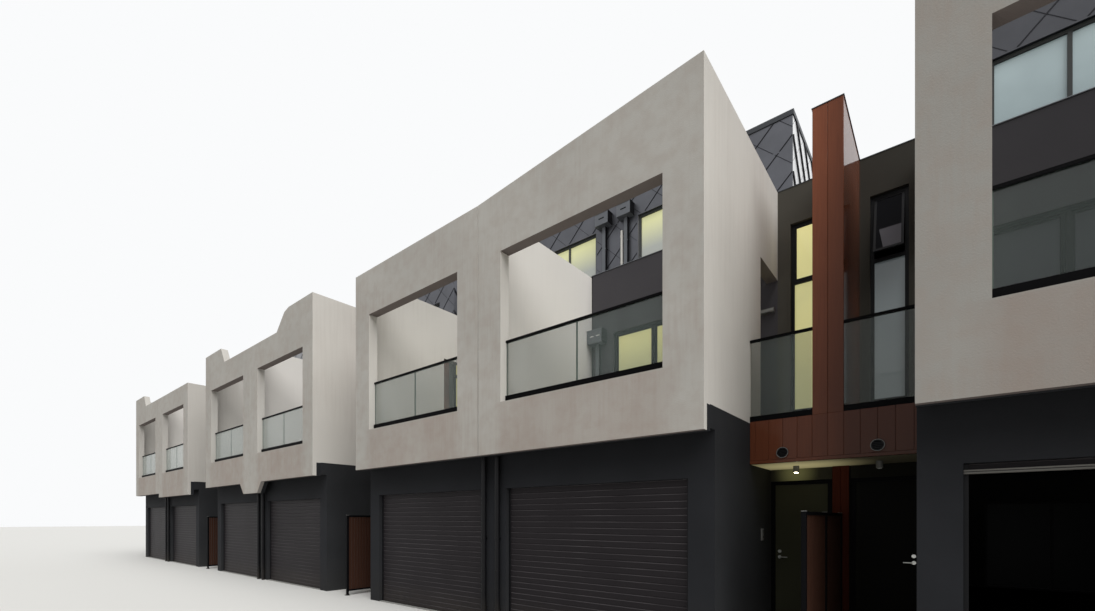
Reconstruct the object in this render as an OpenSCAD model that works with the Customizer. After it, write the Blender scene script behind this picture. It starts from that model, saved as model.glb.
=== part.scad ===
// Row of terraced houses, built in mirrored pairs with a recessed link between the pairs.
// Each pair carries a rendered portal screen in front of two roof terraces, over two garages.
// +X runs to the right along the row, +Y into the houses and +Z up. The origin is on the
// ground, in the middle of the row's length and depth. All sizes are in millimetres.

/* [Row] */
// Number of house pairs in the row
pair_count = 4; // [2:1:4]
// Width of one pair over its two side walls
pair_w = 7800; // [7400:50:7850]
// Width of the recessed link between two pairs
link_w = 2000; // [1800:50:2050]
// Depth from the face of the front screens to the rear wall's face
house_depth = 12000; // [10000:100:14000]

/* [Levels] */
// Thickness of the ground slab
ground_slab_t = 80; // [50:10:200]
// Underside of the first floor
ground_ceiling_z = 3000; // [2970:10:3300]
// Thickness of the first floor and the terrace
floor_t = 300; // [200:10:400]
// Clear height of the first storey under the upper floor
first_clear_h = 2720; // [2660:10:3000]
// Thickness of the upper floor
upper_floor_t = 280; // [150:10:350]
// Clear height of the upper storey
upper_clear_h = 3290; // [3000:10:3500]
// Thickness of the flat roof
roof_t = 160; // [120:10:300]
// Height of the terrace wall's parapet over the upper floor
parapet_h = 1020; // [800:10:1100]
// Thickness of the link's roof
link_roof_t = 250; // [150:10:350]

/* [Walls] */
// Thickness of outer walls
wall_t = 250; // [200:10:300]
// Thickness of party walls
party_t = 240; // [200:10:300]
// Thickness of the clad walls of the upper storey
upper_wall_t = 200; // [150:10:250]
// Distance from the screens' face to the back wall of the terrace
back_wall_y = 3500; // [3300:20:3900]
// Distance from the screens' face to the front of the upper storey
upper_front_y = 4780; // [4300:20:5200]
// Distance from the upper storey's side wall to the pair's side
upper_inset = 30; // [20:10:200]

/* [Cappings] */
// Height of the capping on the roof's edge
capping_h = 100; // [60:10:200]
// Width of the capping on the roof's edge
capping_w = 120; // [80:10:200]
// Reach of a capping past the walls
capping_reach = 20; // [10:5:60]
// Thickness of the thin metal cappings on the links and blades
thin_capping_t = 12; // [8:1:40]
// Reach of a thin capping past what it covers
thin_capping_reach = 8; // [4:1:30]

/* [Garage front] */
// Distance from the screens' face to the garage wall
garage_wall_y = 380; // [340:10:600]
// Width of the outer pier beside a garage door
outer_pier_w = 350; // [260:10:500]
// Width of the pier between the two garage doors
centre_pier_w = 620; // [560:10:800]
// Height of the garage openings
garage_open_h = 2400; // [2200:10:2600]
// Depth of the garage doors behind the wall's face
garage_door_recess = 90; // [60:10:180]
// Thickness of the roller curtain
curtain_t = 40; // [30:1:50]
// Height of one slat of the roller curtain
slat_pitch = 96; // [70:1:140]
// Depth of the groove between two slats
slat_groove = 8; // [4:1:12]
// Side clearance of a roller curtain
curtain_gap = 5; // [3:1:12]
// Height of the bottom slat that shows under the raised curtain
raised_curtain_h = 100; // [60:5:140]
// Diameter of the rolled-up curtain
roll_d = 320; // [260:10:360]

/* [Front screens] */
// Thickness of the front screens
screen_t = 210; // [150:10:260]
// Level of the screens' lower edge
hem_z = 2960; // [2920:10:2990]
// Level of a plain screen's top
plain_top_z = 7290; // [7200:10:7400]
// Level of a shaped screen's top between its raised ends
low_top_z = 7060; // [6900:10:7200]
// Level of raised ends, side screens, timber blades and link walls
raised_top_z = 7570; // [7450:10:7800]
// Width of a terrace opening
opening_w = 2840; // [2400:20:3000]
// Level of the opening's sill
opening_sill_z = 3810; // [3600:10:4000]
// Level of the opening's head
opening_head_z = 6320; // [5900:10:6500]
// Width of the joint between the two screens of a pair
joint_gap = 12; // [6:1:30]
// Width of a raised right end at its full height
raised_right_w = 1320; // [700:10:1600]
// Width of the shoulder beside a raised right end
shoulder_w = 270; // [100:10:400]
// Fall of that shoulder
shoulder_drop = 70; // [20:10:150]
// Run of the steep slope under the shoulder
slope_run = 480; // [100:20:800]
// Width of a raised left end
raised_left_w = 1480; // [700:10:1600]
// Run of the steep step beside a raised left end
step_run = 310; // [50:10:400]
// Drop of the tongue in a shaped lower edge
tongue_drop = 324; // [200:4:400]
// Width of the tongue where it leaves the lower edge
tongue_top_w = 1585; // [1300:5:2000]
// Width of the tongue at its lower end
tongue_end_w = 1030; // [800:10:1200]
// Drop of the lowered half of a stepped lower edge
hem_step_h = 170; // [100:10:300]

/* [Side screens] */
// Thickness of the rendered side screens
side_screen_t = 180; // [140:10:300]
// Depth at which the lower part of a side screen ends
side_end_y = 2440; // [1950:20:2800]
// Level above which a side screen runs on to the wall
side_step_z = 6030; // [5600:10:6400]
// Thickness of the fin between two terraces
fin_t = 200; // [150:10:280]

/* [Link] */
// Distance from the screens' face to the timber fascia
fascia_y = 1870; // [1500:20:1950]
// Thickness of timber cladding on the fascia
cladding_t = 60; // [40:5:100]
// Distance from the screens' face to the entry wall
entry_wall_y = 3040; // [2600:20:3200]
// Underside of the porch
porch_z = 2680; // [2600:10:2760]
// Top of the balcony and its timber fascia
balcony_z = 3315; // [3305:5:3340]
// Thickness of the porch soffit
soffit_t = 30; // [20:5:60]
// Width of the timber blade
blade_w = 370; // [260:10:420]
// Width of the timber pilaster between two entry doors
pilaster_w = 220; // [150:5:260]
// Thickness of that pilaster
pilaster_t = 60; // [40:5:100]

/* [Balustrades] */
// Level of the top rail of the terrace balustrades
terrace_rail_z = 4860; // [4700:10:5000]
// Level of the top rail of the link balconies
balcony_rail_z = 4540; // [4400:10:4600]
// Height of a top rail
rail_h = 35; // [25:1:60]
// Depth of rails and channels
rail_d = 50; // [40:1:60]
// Height of the terrace balustrade's channel
terrace_channel_h = 70; // [40:5:90]
// Height of the balcony balustrade's channel
balcony_channel_h = 80; // [50:5:120]
// Thickness of balustrade glass
balustrade_t = 12; // [8:1:20]
// Distance from the balustrade to the back of its screen
balustrade_back = 30; // [10:5:60]
// Gap beside a sheet of balustrade glass
sheet_gap = 10; // [5:1:20]

/* [Windows] */
// Face width of window and door frames
frame_w = 50; // [40:1:70]
// Depth of window and door frames
frame_d = 100; // [70:5:140]
// Depth of a frame behind the wall's face
frame_set = 60; // [20:5:90]
// Thickness of window glass
pane_t = 24; // [12:1:40]
// Distance from the pair's middle to the terrace door
terrace_door_x = 640; // [560:10:700]
// Width of the terrace door
terrace_door_w = 2750; // [2300:10:2800]
// Height of the terrace door
terrace_door_h = 2630; // [2200:10:2660]
// Distance from the side wall to the link window
link_window_x = 200; // [120:5:220]
// Width of the link window
link_window_w = 480; // [400:10:500]
// Level of the link window's sill
link_window_sill_z = 3700; // [3450:10:3800]
// Level of the link window's head
link_window_head_z = 6940; // [6700:10:7100]
// Level of the link window's transom
link_transom_z = 5930; // [5600:10:6200]
// Face width of the vent sash
sash_w = 32; // [24:1:45]
// Thickness of the vent sash
sash_t = 36; // [30:1:50]
// Gap round the vent sash
sash_gap = 3; // [2:1:5]
// Opening angle of the vent sash that stands open
vent_angle = 14; // [5:1:25]
// Level of the upper doors' heads
upper_head_z = 9110; // [8800:10:9200]
// Height of the glazed doors on the upper front
upper_door_h = 2700; // [2200:20:2740]
// Width of the glazed doors on the upper front
upper_door_w = 2570; // [2000:10:2650]
// Distance from the pair's middle to the glazed door on the upper front
upper_door_x = 580; // [560:10:700]

/* [Entry doors] */
// Face width of the entry door frame
jamb_w = 50; // [40:1:60]
// Distance from the entry wall's face to the door frame
entry_set = 30; // [10:5:60]
// Height of the entry door leaf
entry_h = 2340; // [2040:10:2400]
// Thickness of the entry door leaf
leaf_t = 44; // [36:1:54]
// Gap round the door leaf
leaf_gap = 6; // [5:1:8]
// Gap under the door leaf
sill_gap = 12; // [8:1:20]
// Width of the stop that the leaf closes against
stop_w = 14; // [12:1:20]
// Depth of that stop
stop_d = 20; // [12:1:30]
// Radius of a hinge's knuckle
knuckle_r = 8; // [6:1:10]
// Height of one knuckle
knuckle_h = 50; // [35:1:70]
// Gap between the leaf's knuckle and the frame's
knuckle_gap = 1; // [0.5:0.5:2]
// Distance of the outer hinges from the ends of the door leaf
hinge_margin = 280; // [150:10:400]
// Width of a hinge's leaf from the knuckle's middle
strap_w = 32; // [20:1:40]
// Thickness of a hinge's leaf
strap_t = 3; // [2:0.5:4]
// Height of the lever handle over the floor
handle_h = 1150; // [900:10:1200]
// Distance from the leaf's edge to the lever's spindle
handle_inset = 70; // [55:1:80]
// Length of the lever
lever_l = 120; // [100:1:140]
// Diameter of the lever
lever_d = 19; // [16:1:24]
// Diameter of a rose behind the lever or the lock
rose_d = 52; // [40:1:60]
// Thickness of a rose
rose_t = 10; // [6:1:15]
// Reach of the lever from the leaf's face
lever_reach = 46; // [40:1:60]
// Height of the lock over the lever
lock_rise = 95; // [80:5:130]
// Thickness of the lock's rose
lock_t = 14; // [10:1:20]

/* [Divider screens] */
// Height of a divider screen
divider_h = 1950; // [1700:10:2200]
// Clearance under the battens
divider_gap = 100; // [60:5:150]
// Side of a square divider post
post_w = 50; // [40:1:70]
// Width of a batten
batten_w = 62; // [40:1:90]
// Pitch of the battens
batten_pitch = 76; // [70:1:120]
// Thickness of a batten
batten_t = 22; // [16:1:30]
// Height of the divider's rails
divider_rail_h = 40; // [30:1:60]
// Thickness of a post's foot plate
foot_t = 10; // [6:1:15]

/* [Services] */
// Diameter of the round downpipes on the garage front
pipe_d = 90; // [70:1:110]
// Distance of a front downpipe from the pair's middle
pipe_x = 165; // [120:5:200]
// Gap between a round downpipe and the wall
pipe_gap = 20; // [10:1:30]
// Height of a pipe clip
clip_h = 40; // [25:1:60]
// Thickness of a pipe clip
clip_t = 6; // [4:1:10]
// Levels of the pipe clips
clip_low_z = 250; // [150:10:600]
// Level of the upper pipe clip
clip_high_z = 1500; // [1200:10:2000]
// Width of square downpipes
square_pipe_w = 90; // [70:5:110]
// Depth of square downpipes
square_pipe_d = 65; // [50:5:80]
// Width of a rainwater head
head_w = 300; // [240:10:300]
// Height of a rainwater head with its tapered outlet
head_h = 420; // [360:10:440]
// Height of the straight part of a rainwater head
head_box_h = 290; // [200:10:320]
// Depth of a rainwater head
head_d = 150; // [120:5:200]
// Distance of a rainwater head from the pair's middle
head_x = 300; // [280:5:340]
// Level of the top of the heads on the terrace wall
terrace_head_z = 6040; // [5800:10:6200]
// Distance from the roof's underside down to the upper heads
upper_head_drop = 90; // [40:10:200]
// Distance of a rear downpipe from the pair's side
rear_pipe_inset = 300; // [200:10:400]

/* [Fittings] */
// Radius of a round vent
vent_r = 75; // [50:1:90]
// Reach of a vent from the fascia
vent_reach = 26; // [15:1:40]
// Width of a vent's rim
vent_rim = 16; // [8:1:25]
// Distance of a vent from the link's middle
vent_x = 555; // [400:5:600]
// Height of a vent's middle over the porch soffit
vent_rise = 140; // [110:5:250]
// Radius of a downlight
downlight_r = 42; // [30:1:60]
// Length of a downlight
downlight_h = 100; // [60:5:160]
// Distance of a downlight from the link's middle
downlight_x = 520; // [400:10:560]
// Distance from the screens' face to the downlights
downlight_y = 2550; // [2300:10:2700]
// Distance from the screens' face to the intercom's middle
intercom_y = 2500; // [2200:10:2600]
// Level of the intercom's lower end
intercom_z = 1520; // [1300:10:1600]
// Width of an intercom
intercom_w = 80; // [60:5:120]
// Height of an intercom
intercom_h = 190; // [150:5:250]
// Thickness of an intercom
intercom_t = 24; // [15:1:40]
// Length of a wall light
wall_light_w = 300; // [200:10:400]
// Height of a wall light
wall_light_h = 70; // [50:5:120]
// Reach of a wall light
wall_light_d = 80; // [60:5:120]
// Level of the lower edge of a wall light
wall_light_z = 5490; // [5200:10:5700]
// Distance from the pair's side to a wall light
wall_light_inset = 40; // [20:5:100]

/* [Rear] */
// Distance from the pair's middle to the rear openings
rear_x = 500; // [400:10:700]
// Width of the rear garden door
garden_door_w = 2400; // [2000:20:2600]
// Height of the rear garden door
garden_door_h = 2200; // [2000:20:2400]
// Width of the rear windows
rear_window_w = 1800; // [1400:20:2000]
// Height of the rear windows
rear_window_h = 1300; // [1000:20:1400]
// Height of the rear windows' sills over the floor
rear_sill_h = 900; // [800:10:1000]
// Width of the small rear windows
small_window_w = 600; // [500:20:660]
// Distance from the pair's side to the small rear windows
small_window_x = 100; // [60:5:120]

/* [Hidden] */
$fn = 32;
// Small overlap that makes a cut pass right through a face
cut = 1;

half_pair = pair_w / 2;
half_link = link_w / 2;
module_w = pair_w + link_w;
row_w = pair_count * module_w;
house_w = half_pair + half_link;
half_party = party_t / 2;
house_inner_x = house_w - half_party;
link_clear_w = half_link - half_party;
// The downpipes on the rear wall are the row's furthest reach
row_depth = house_depth + square_pipe_d;
rear_inner_y = house_depth - wall_t;
first_floor_z = ground_ceiling_z + floor_t;
upper_under_z = first_floor_z + first_clear_h;
upper_floor_z = upper_under_z + upper_floor_t;
parapet_z = upper_floor_z + parapet_h;
roof_under_z = upper_floor_z + upper_clear_h;
roof_top_z = roof_under_z + roof_t;
garage_back_y = garage_wall_y + wall_t;
entry_back_y = entry_wall_y + wall_t;
wall_back_y = back_wall_y + wall_t;
upper_back_y = upper_front_y + upper_wall_t;
upper_side_x = half_pair - upper_inset;
garage_door_y = garage_wall_y + garage_door_recess;
garage_open_w = half_pair - outer_pier_w - centre_pier_w / 2;
fascia_back_y = fascia_y + cladding_t;
pane_set = (frame_d - pane_t) / 2;
open_pair = pair_count - 1;
// The link whose two entry doors open lies left of the last pair
open_link_x = open_pair * module_w - row_w / 2;

// Placing of pieces along the row. $pair counts the pairs from the row's left end, and
// $side is 0 in a pair's right house and 1 in its mirrored left house.
module row() translate([0, -row_depth / 2, 0]) children();
module at_pairs() row()
  for ($pair = [0 : pair_count - 1]) translate([pair_x($pair), 0, 0]) children();
module at_houses() at_pairs()
  for ($side = [0, 1]) mirror([$side, 0, 0]) children();
// Children stand at the side of each house, with the link in front of them in X
module at_link_sides() at_houses() translate([half_pair, 0, 0]) children();
// Children stand at the middle of each link between two pairs
module at_links() row()
  for (i = [1 : pair_count - 1]) translate([i * module_w - row_w / 2, 0, 0]) children();
// Children stand at each end of the row, mirrored so that +X points outwards
module at_ends() row()
  for (side = [0, 1]) mirror([side, 0, 0]) translate([row_w / 2, 0, 0]) children();
function pair_x(i) = (i + 0.5) * module_w - row_w / 2;

// Box between two corners, given as x0, x1, y0, y1, z0, z1
module block(x0, x1, y0, y1, z0, z1)
  translate([x0, y0, z0]) cube([x1 - x0, y1 - y0, z1 - z0]);
// Profile drawn in X and Z, standing with its face at y and running t inwards
module upright(y, t) translate([0, y + t, 0]) rotate([90, 0, 0]) linear_extrude(t) children();
// Profile drawn in Y and Z, with its face at x and running t to the right
module crosswise(x, t) translate([x, 0, 0]) rotate([90, 0, 90]) linear_extrude(t) children();
module rect(x0, x1, z0, z1) translate([x0, z0]) square([x1 - x0, z1 - z0]);

// Frame round an opening, with upright bars at the fractions in bars and rails at levels
module frame(x, z, w, h, y, bars = [], rails = []) upright(y, frame_d) difference() {
  rect(x, x + w, z, z + h);
  for (light = lights(x, z, w, h, bars, rails)) rect(light[0], light[1], light[2], light[3]);
}
// Sheets of glass that fill that frame's lights
module panes(x, z, w, h, y, bars = [], rails = []) upright(y + pane_set, pane_t)
  for (light = lights(x, z, w, h, bars, rails)) rect(light[0], light[1], light[2], light[3]);
// Clear lights of a frame as x0, x1, z0, z1
function lights(x, z, w, h, bars, rails) =
  let (xs = concat([x + frame_w / 2], [for (b = bars) x + w * b], [x + w - frame_w / 2]),
       zs = concat([z + frame_w / 2], rails, [z + h - frame_w / 2]))
  [for (i = [0 : len(xs) - 2]) for (j = [0 : len(zs) - 2])
    [xs[i] + frame_w / 2, xs[i + 1] - frame_w / 2, zs[j] + frame_w / 2, zs[j + 1] - frame_w / 2]];

// Ground storey
// The ground slab runs round the end of the side wall and under the entry door
module ground_slabs() color("#8b8a86") at_houses() linear_extrude(ground_slab_t) polygon([
  [half_party, garage_back_y], [half_pair - wall_t, garage_back_y], [half_pair - wall_t, entry_back_y],
  [half_pair, entry_back_y], [half_pair, entry_wall_y], [house_inner_x, entry_wall_y],
  [house_inner_x, rear_inner_y], [half_party, rear_inner_y]
]);
module garage_piers() color("#2c2d30") {
  at_houses() block(half_pair - outer_pier_w, half_pair, garage_wall_y, garage_back_y, 0, garage_open_h);
  at_pairs() block(-centre_pier_w / 2, centre_pier_w / 2, garage_wall_y, garage_back_y, 0, garage_open_h);
}
module garage_lintels() color("#2c2d30") at_pairs()
  block(-half_pair, half_pair, garage_wall_y, garage_back_y, garage_open_h, ground_ceiling_z);
// Curtain of slats with a groove along the joint of each two
module curtain(z0, z1) {
  slats = max(1, round((z1 - z0) / slat_pitch));
  pitch = (z1 - z0) / slats;
  crosswise(curtain_gap, garage_open_w - 2 * curtain_gap) polygon(concat(
    [[curtain_t, z1], [curtain_t, z0]],
    [for (i = [0 : slats - 1]) each [
      [slat_groove, z0 + i * pitch],
      [0, z0 + i * pitch + slat_groove],
      [0, z0 + (i + 1) * pitch - slat_groove]
    ]],
    [[slat_groove, z1]]));
}
module garage_door_place() translate([centre_pier_w / 2, garage_door_y, 0]) children();
function garage_is_open(pair, side) = pair == open_pair && side == 1;
module garage_doors() color("#353438") at_houses()
  if (!garage_is_open($pair, $side)) garage_door_place() curtain(0, garage_open_h);
// The left garage of the last pair stands open, its curtain rolled up behind the lintel
module raised_garage_door() color("#6a6a68") at_houses()
  if (garage_is_open($pair, $side)) garage_door_place() {
    curtain(garage_open_h - raised_curtain_h, garage_open_h);
    roll_gap = garage_back_y - garage_door_y;
    translate([curtain_gap, roll_gap + roll_d / 2, ground_ceiling_z - roll_d / 2])
      rotate([0, 90, 0]) cylinder(d = roll_d, h = garage_open_w - 2 * curtain_gap);
  }
module box_side_walls() color("#2c2d30") at_houses()
  block(half_pair - wall_t, half_pair, garage_back_y, entry_back_y, 0, ground_ceiling_z);
// Party walls step back over the ground storey. A pair's also closes the gap between its two
// terrace walls, and carries the upper floor behind them.
module party_walls() color("#6f6e6a") {
  at_pairs() crosswise(-half_party, party_t) polygon([
    [garage_back_y, 0], [rear_inner_y, 0], [rear_inner_y, upper_floor_z], [wall_back_y, upper_floor_z],
    [wall_back_y, parapet_z], [back_wall_y, parapet_z],
    [back_wall_y, ground_ceiling_z], [garage_back_y, ground_ceiling_z]
  ]);
  at_links() crosswise(-half_party, party_t) polygon([
    [entry_wall_y, 0], [house_depth, 0], [house_depth, raised_top_z], [back_wall_y, raised_top_z],
    [back_wall_y, ground_ceiling_z], [entry_wall_y, ground_ceiling_z]
  ]);
}
module upper_party_walls() color("#6f6e6a") at_pairs()
  block(-half_party, half_party, upper_back_y, rear_inner_y, upper_floor_z, roof_under_z);
module end_walls() color("#2c2d30") at_ends()
  block(-half_party, half_party, fascia_y, house_depth, 0, raised_top_z);

// Entry doors, from the side wall's face to the party wall in the link's middle
leaf_w = link_clear_w - 2 * jamb_w - 2 * leaf_gap;
leaf_x = jamb_w + leaf_gap;
leaf_y = entry_wall_y + entry_set + stop_d + leaf_gap;
leaf_back_y = leaf_y + leaf_t;
leaf_z = ground_slab_t + sill_gap;
entry_head_z = leaf_z + entry_h + leaf_gap;
entry_top_z = entry_head_z + jamb_w;
jamb_d = leaf_back_y - entry_wall_y - entry_set;
hinge_x = leaf_x + leaf_w + leaf_gap / 2;
hinge_y = leaf_back_y + knuckle_r;
hinge_levels = [for (h = [hinge_margin, entry_h / 2, entry_h - hinge_margin]) leaf_z + h];
module entry_lintels() color("#2b2b29") at_link_sides()
  block(0, link_clear_w, entry_wall_y, entry_back_y, entry_top_z, ground_ceiling_z);
// Half of a lift-off hinge: a knuckle and its strap, which runs to one side of the axis
module half_hinge(z, side) translate([hinge_x, 0, z]) {
  translate([0, hinge_y, 0]) cylinder(r = knuckle_r, h = knuckle_h, $fn = 16);
  translate([side < 0 ? -strap_w : 0, leaf_back_y, 0]) cube([strap_w, strap_t, knuckle_h]);
}
// Frame of an entry door with a stop on its outer side and the lower halves of the hinges
module door_frames() color("#1d1d1f") at_link_sides() {
  upright(entry_wall_y + entry_set, jamb_d) difference() {
    rect(0, link_clear_w, ground_slab_t, entry_top_z);
    rect(jamb_w, link_clear_w - jamb_w, ground_slab_t - cut, entry_head_z);
  }
  upright(entry_wall_y + entry_set, stop_d) difference() {
    rect(jamb_w, link_clear_w - jamb_w, ground_slab_t, entry_head_z);
    rect(jamb_w + stop_w, link_clear_w - jamb_w - stop_w, ground_slab_t - cut, entry_head_z - stop_w);
  }
  for (z = hinge_levels) half_hinge(z - knuckle_h - knuckle_gap, 1);
}
module entry_leaf() {
  translate([leaf_x, leaf_y, leaf_z]) cube([leaf_w, leaf_t, entry_h]);
  for (z = hinge_levels) half_hinge(z, -1);
}
// Lever handles on both faces, each with a round lock over it
module entry_handle() translate([leaf_x + handle_inset, leaf_y, ground_slab_t + handle_h])
  for (face = [0, 1]) translate([0, face * leaf_t, 0]) mirror([0, 1 - face, 0]) {
    rotate([-90, 0, 0]) cylinder(d = rose_d, h = rose_t);
    rotate([-90, 0, 0]) cylinder(d = lever_d, h = lever_reach);
    translate([0, lever_reach - lever_d / 2, 0]) rotate([0, 90, 0]) cylinder(d = lever_d, h = lever_l);
    translate([0, 0, lock_rise]) rotate([-90, 0, 0]) cylinder(d = rose_d, h = lock_t);
  }
function entry_opens(pair, side) = pair + 1 - side == open_pair;
module at_left_entry() row() translate([open_link_x - half_link, 0, 0]) children();
module at_right_entry() row() translate([open_link_x + half_link, 0, 0]) mirror([1, 0, 0]) children();
module entry_door_left() color("#2a2c24") at_left_entry() entry_leaf();
module entry_door_right() color("#2a2c24") at_right_entry() entry_leaf();
module entry_handle_left() color("#c9c9c4") at_left_entry() entry_handle();
module entry_handle_right() color("#c9c9c4") at_right_entry() entry_handle();
// Doors of the other links, which are hidden from the street view
module entry_doors() color("#2a2c24") at_link_sides() if (!entry_opens($pair, $side)) entry_leaf();
module entry_handles() color("#c9c9c4") at_link_sides() if (!entry_opens($pair, $side)) entry_handle();
module porch_soffits() color("#cfc8a8") {
  at_links() block(-half_link, half_link, fascia_back_y, entry_wall_y, porch_z, porch_z + soffit_t);
  at_ends() block(-half_link, -half_party, fascia_back_y, entry_wall_y, porch_z, porch_z + soffit_t);
}

// Divider screens between two entries, in two bays of battens
divider_end_y = entry_wall_y - pilaster_t - post_w;
divider_posts = [for (share = [0, 0.5, 1]) garage_wall_y + share * (divider_end_y - garage_wall_y)];
module divider_frames() color("#1b1b1d") at_links() {
  for (y = divider_posts) {
    block(-post_w / 2, post_w / 2, y - post_w / 2, y + post_w / 2, 0, divider_h);
    block(-post_w, post_w, y - post_w, y + post_w, 0, foot_t);
  }
  for (z = [divider_h - divider_rail_h, divider_gap])
    block(-post_w / 2, post_w / 2, garage_wall_y, divider_end_y, z, z + divider_rail_h);
}
module divider_battens() color("#5c3223") at_links() for (bay = [0, 1]) {
  bay_y = divider_posts[bay] + post_w / 2;
  bay_w = divider_posts[bay + 1] - post_w / 2 - bay_y;
  count = floor((bay_w - batten_w) / batten_pitch) + 1;
  margin = (bay_w - (count - 1) * batten_pitch - batten_w) / 2;
  for (i = [0 : count - 1])
    translate([-batten_t / 2, bay_y + margin + i * batten_pitch, divider_gap + divider_rail_h])
      cube([batten_t, batten_w, divider_h - 2 * divider_rail_h - divider_gap]);
}

// Services and fittings on the garage front and in the porch
module front_downpipes() color("#232427") at_houses()
  translate([pipe_x, garage_wall_y - pipe_gap - pipe_d / 2, 0]) {
    cylinder(d = pipe_d, h = ground_ceiling_z);
    for (z = [clip_low_z, clip_high_z]) translate([0, 0, z]) {
      cylinder(d = pipe_d + 2 * clip_t, h = clip_h);
      translate([-pipe_d / 4, 0, 0]) cube([pipe_d / 2, pipe_d / 2 + pipe_gap, clip_h]);
    }
  }
module vents() color("#161616") at_link_sides()
  translate([half_link - vent_x, fascia_y, porch_z + vent_rise]) rotate([90, 0, 0]) difference() {
    cylinder(r = vent_r, h = vent_reach);
    translate([0, 0, vent_reach / 3]) cylinder(r = vent_r - vent_rim, h = vent_reach);
  }
module downlights() color("#d9d4bd") at_link_sides()
  translate([half_link - downlight_x, downlight_y, porch_z - downlight_h])
    cylinder(r = downlight_r, h = downlight_h);
module wall_fittings() color("#b9bab5") at_link_sides() {
  block(0, intercom_t, intercom_y - intercom_w / 2, intercom_y + intercom_w / 2,
    intercom_z, intercom_z + intercom_h);
  block(-wall_light_inset - wall_light_w, -wall_light_inset, back_wall_y - wall_light_d, back_wall_y,
    wall_light_z, wall_light_z + wall_light_h);
}

// First storey
module terrace_slabs() color("#77756f") at_pairs()
  block(-half_pair, half_pair, screen_t, back_wall_y, ground_ceiling_z, first_floor_z);
module inner_floors() color("#8b8a86") at_houses() {
  block(half_party, house_inner_x, back_wall_y, rear_inner_y, ground_ceiling_z, first_floor_z);
  block(half_party, half_pair, wall_back_y, rear_inner_y, upper_under_z, upper_floor_z);
}
module balcony_slabs() color("#77756f") {
  at_links() block(-half_link, half_link, fascia_back_y, back_wall_y, ground_ceiling_z, balcony_z);
  at_ends() block(-half_link, -half_party, fascia_back_y, back_wall_y, ground_ceiling_z, balcony_z);
}
module timber_fascias() color("#5a2e20") {
  at_links() block(-half_link, half_link, fascia_y, fascia_back_y, porch_z, balcony_z);
  at_ends() block(-half_link, -half_party, fascia_y, fascia_back_y, porch_z, balcony_z);
}
// A blade stands between two balconies, with a pilaster in line with it between the doors
module timber_blades() color("#5a2e20") at_links() {
  block(-blade_w / 2, blade_w / 2, fascia_y, back_wall_y, balcony_z, raised_top_z);
  block(-pilaster_w / 2, pilaster_w / 2, entry_wall_y - pilaster_t, entry_wall_y, 0, porch_z);
}

// Front screens. Four styles follow each other from the row's right end leftwards:
// plain, sloping up over the right house, raised at both ends, and raised at the left end.
function style(pair) = open_pair - pair;
function right_top_z(pair) = style(pair) == 0 ? plain_top_z : style(pair) == 3 ? low_top_z : raised_top_z;
function middle_top_z(pair) = style(pair) < 2 ? plain_top_z : low_top_z;
function left_top_z(pair) = style(pair) < 2 ? plain_top_z : raised_top_z;
function end_top_z(pair, side) = side == 0 ? right_top_z(pair) : left_top_z(pair);
function raised_right_steps() = [
  [half_pair - raised_right_w, raised_top_z],
  [half_pair - raised_right_w - shoulder_w, raised_top_z - shoulder_drop],
  [half_pair - raised_right_w - shoulder_w - slope_run, low_top_z]
];
function raised_left_steps() = [
  [-half_pair + raised_left_w + step_run, low_top_z],
  [-half_pair + raised_left_w, raised_top_z]
];
// Points along the top between the two ends, from right to left
function top_steps(pair) =
  style(pair) == 2 ? concat(raised_right_steps(), raised_left_steps()) :
  style(pair) == 3 ? raised_left_steps() : [[0, plain_top_z]];
// Points along the lower edge between the two ends, from left to right
function hem_steps(pair) =
  style(pair) == 2 ? [
    [-tongue_top_w / 2, hem_z], [-tongue_end_w / 2, hem_z - tongue_drop],
    [tongue_end_w / 2, hem_z - tongue_drop], [tongue_top_w / 2, hem_z], [half_pair, hem_z]
  ] :
  style(pair) == 3 ? [[0, hem_z], [0, hem_z - hem_step_h], [half_pair, hem_z - hem_step_h]] :
  [[half_pair, hem_z]];
function screen_outline(pair) = concat(
  [[-half_pair, hem_z]], hem_steps(pair),
  [[half_pair, right_top_z(pair)]], top_steps(pair), [[-half_pair, left_top_z(pair)]]);
opening_x0 = (half_pair - opening_w) / 2;
opening_x1 = opening_x0 + opening_w;
balustrade_y = screen_t - balustrade_back - rail_d;
module front_screens() color("#bdb8b0") at_pairs() upright(0, screen_t) difference() {
  polygon(screen_outline($pair));
  for (side = [0, 1]) mirror([side, 0]) rect(opening_x0, opening_x1, opening_sill_z, opening_head_z);
  rect(-joint_gap / 2, joint_gap / 2, 0, raised_top_z + cut);
}
module side_screens() color("#c9c5bd") at_houses() crosswise(half_pair - side_screen_t, side_screen_t)
  polygon([
    [screen_t, first_floor_z], [side_end_y, first_floor_z], [side_end_y, side_step_z],
    [back_wall_y, side_step_z], [back_wall_y, end_top_z($pair, $side)], [screen_t, end_top_z($pair, $side)]
  ]);
module terrace_fins() color("#c9c5bd") at_pairs()
  block(-fin_t / 2, fin_t / 2, screen_t, back_wall_y, first_floor_z, middle_top_z($pair));

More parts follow.
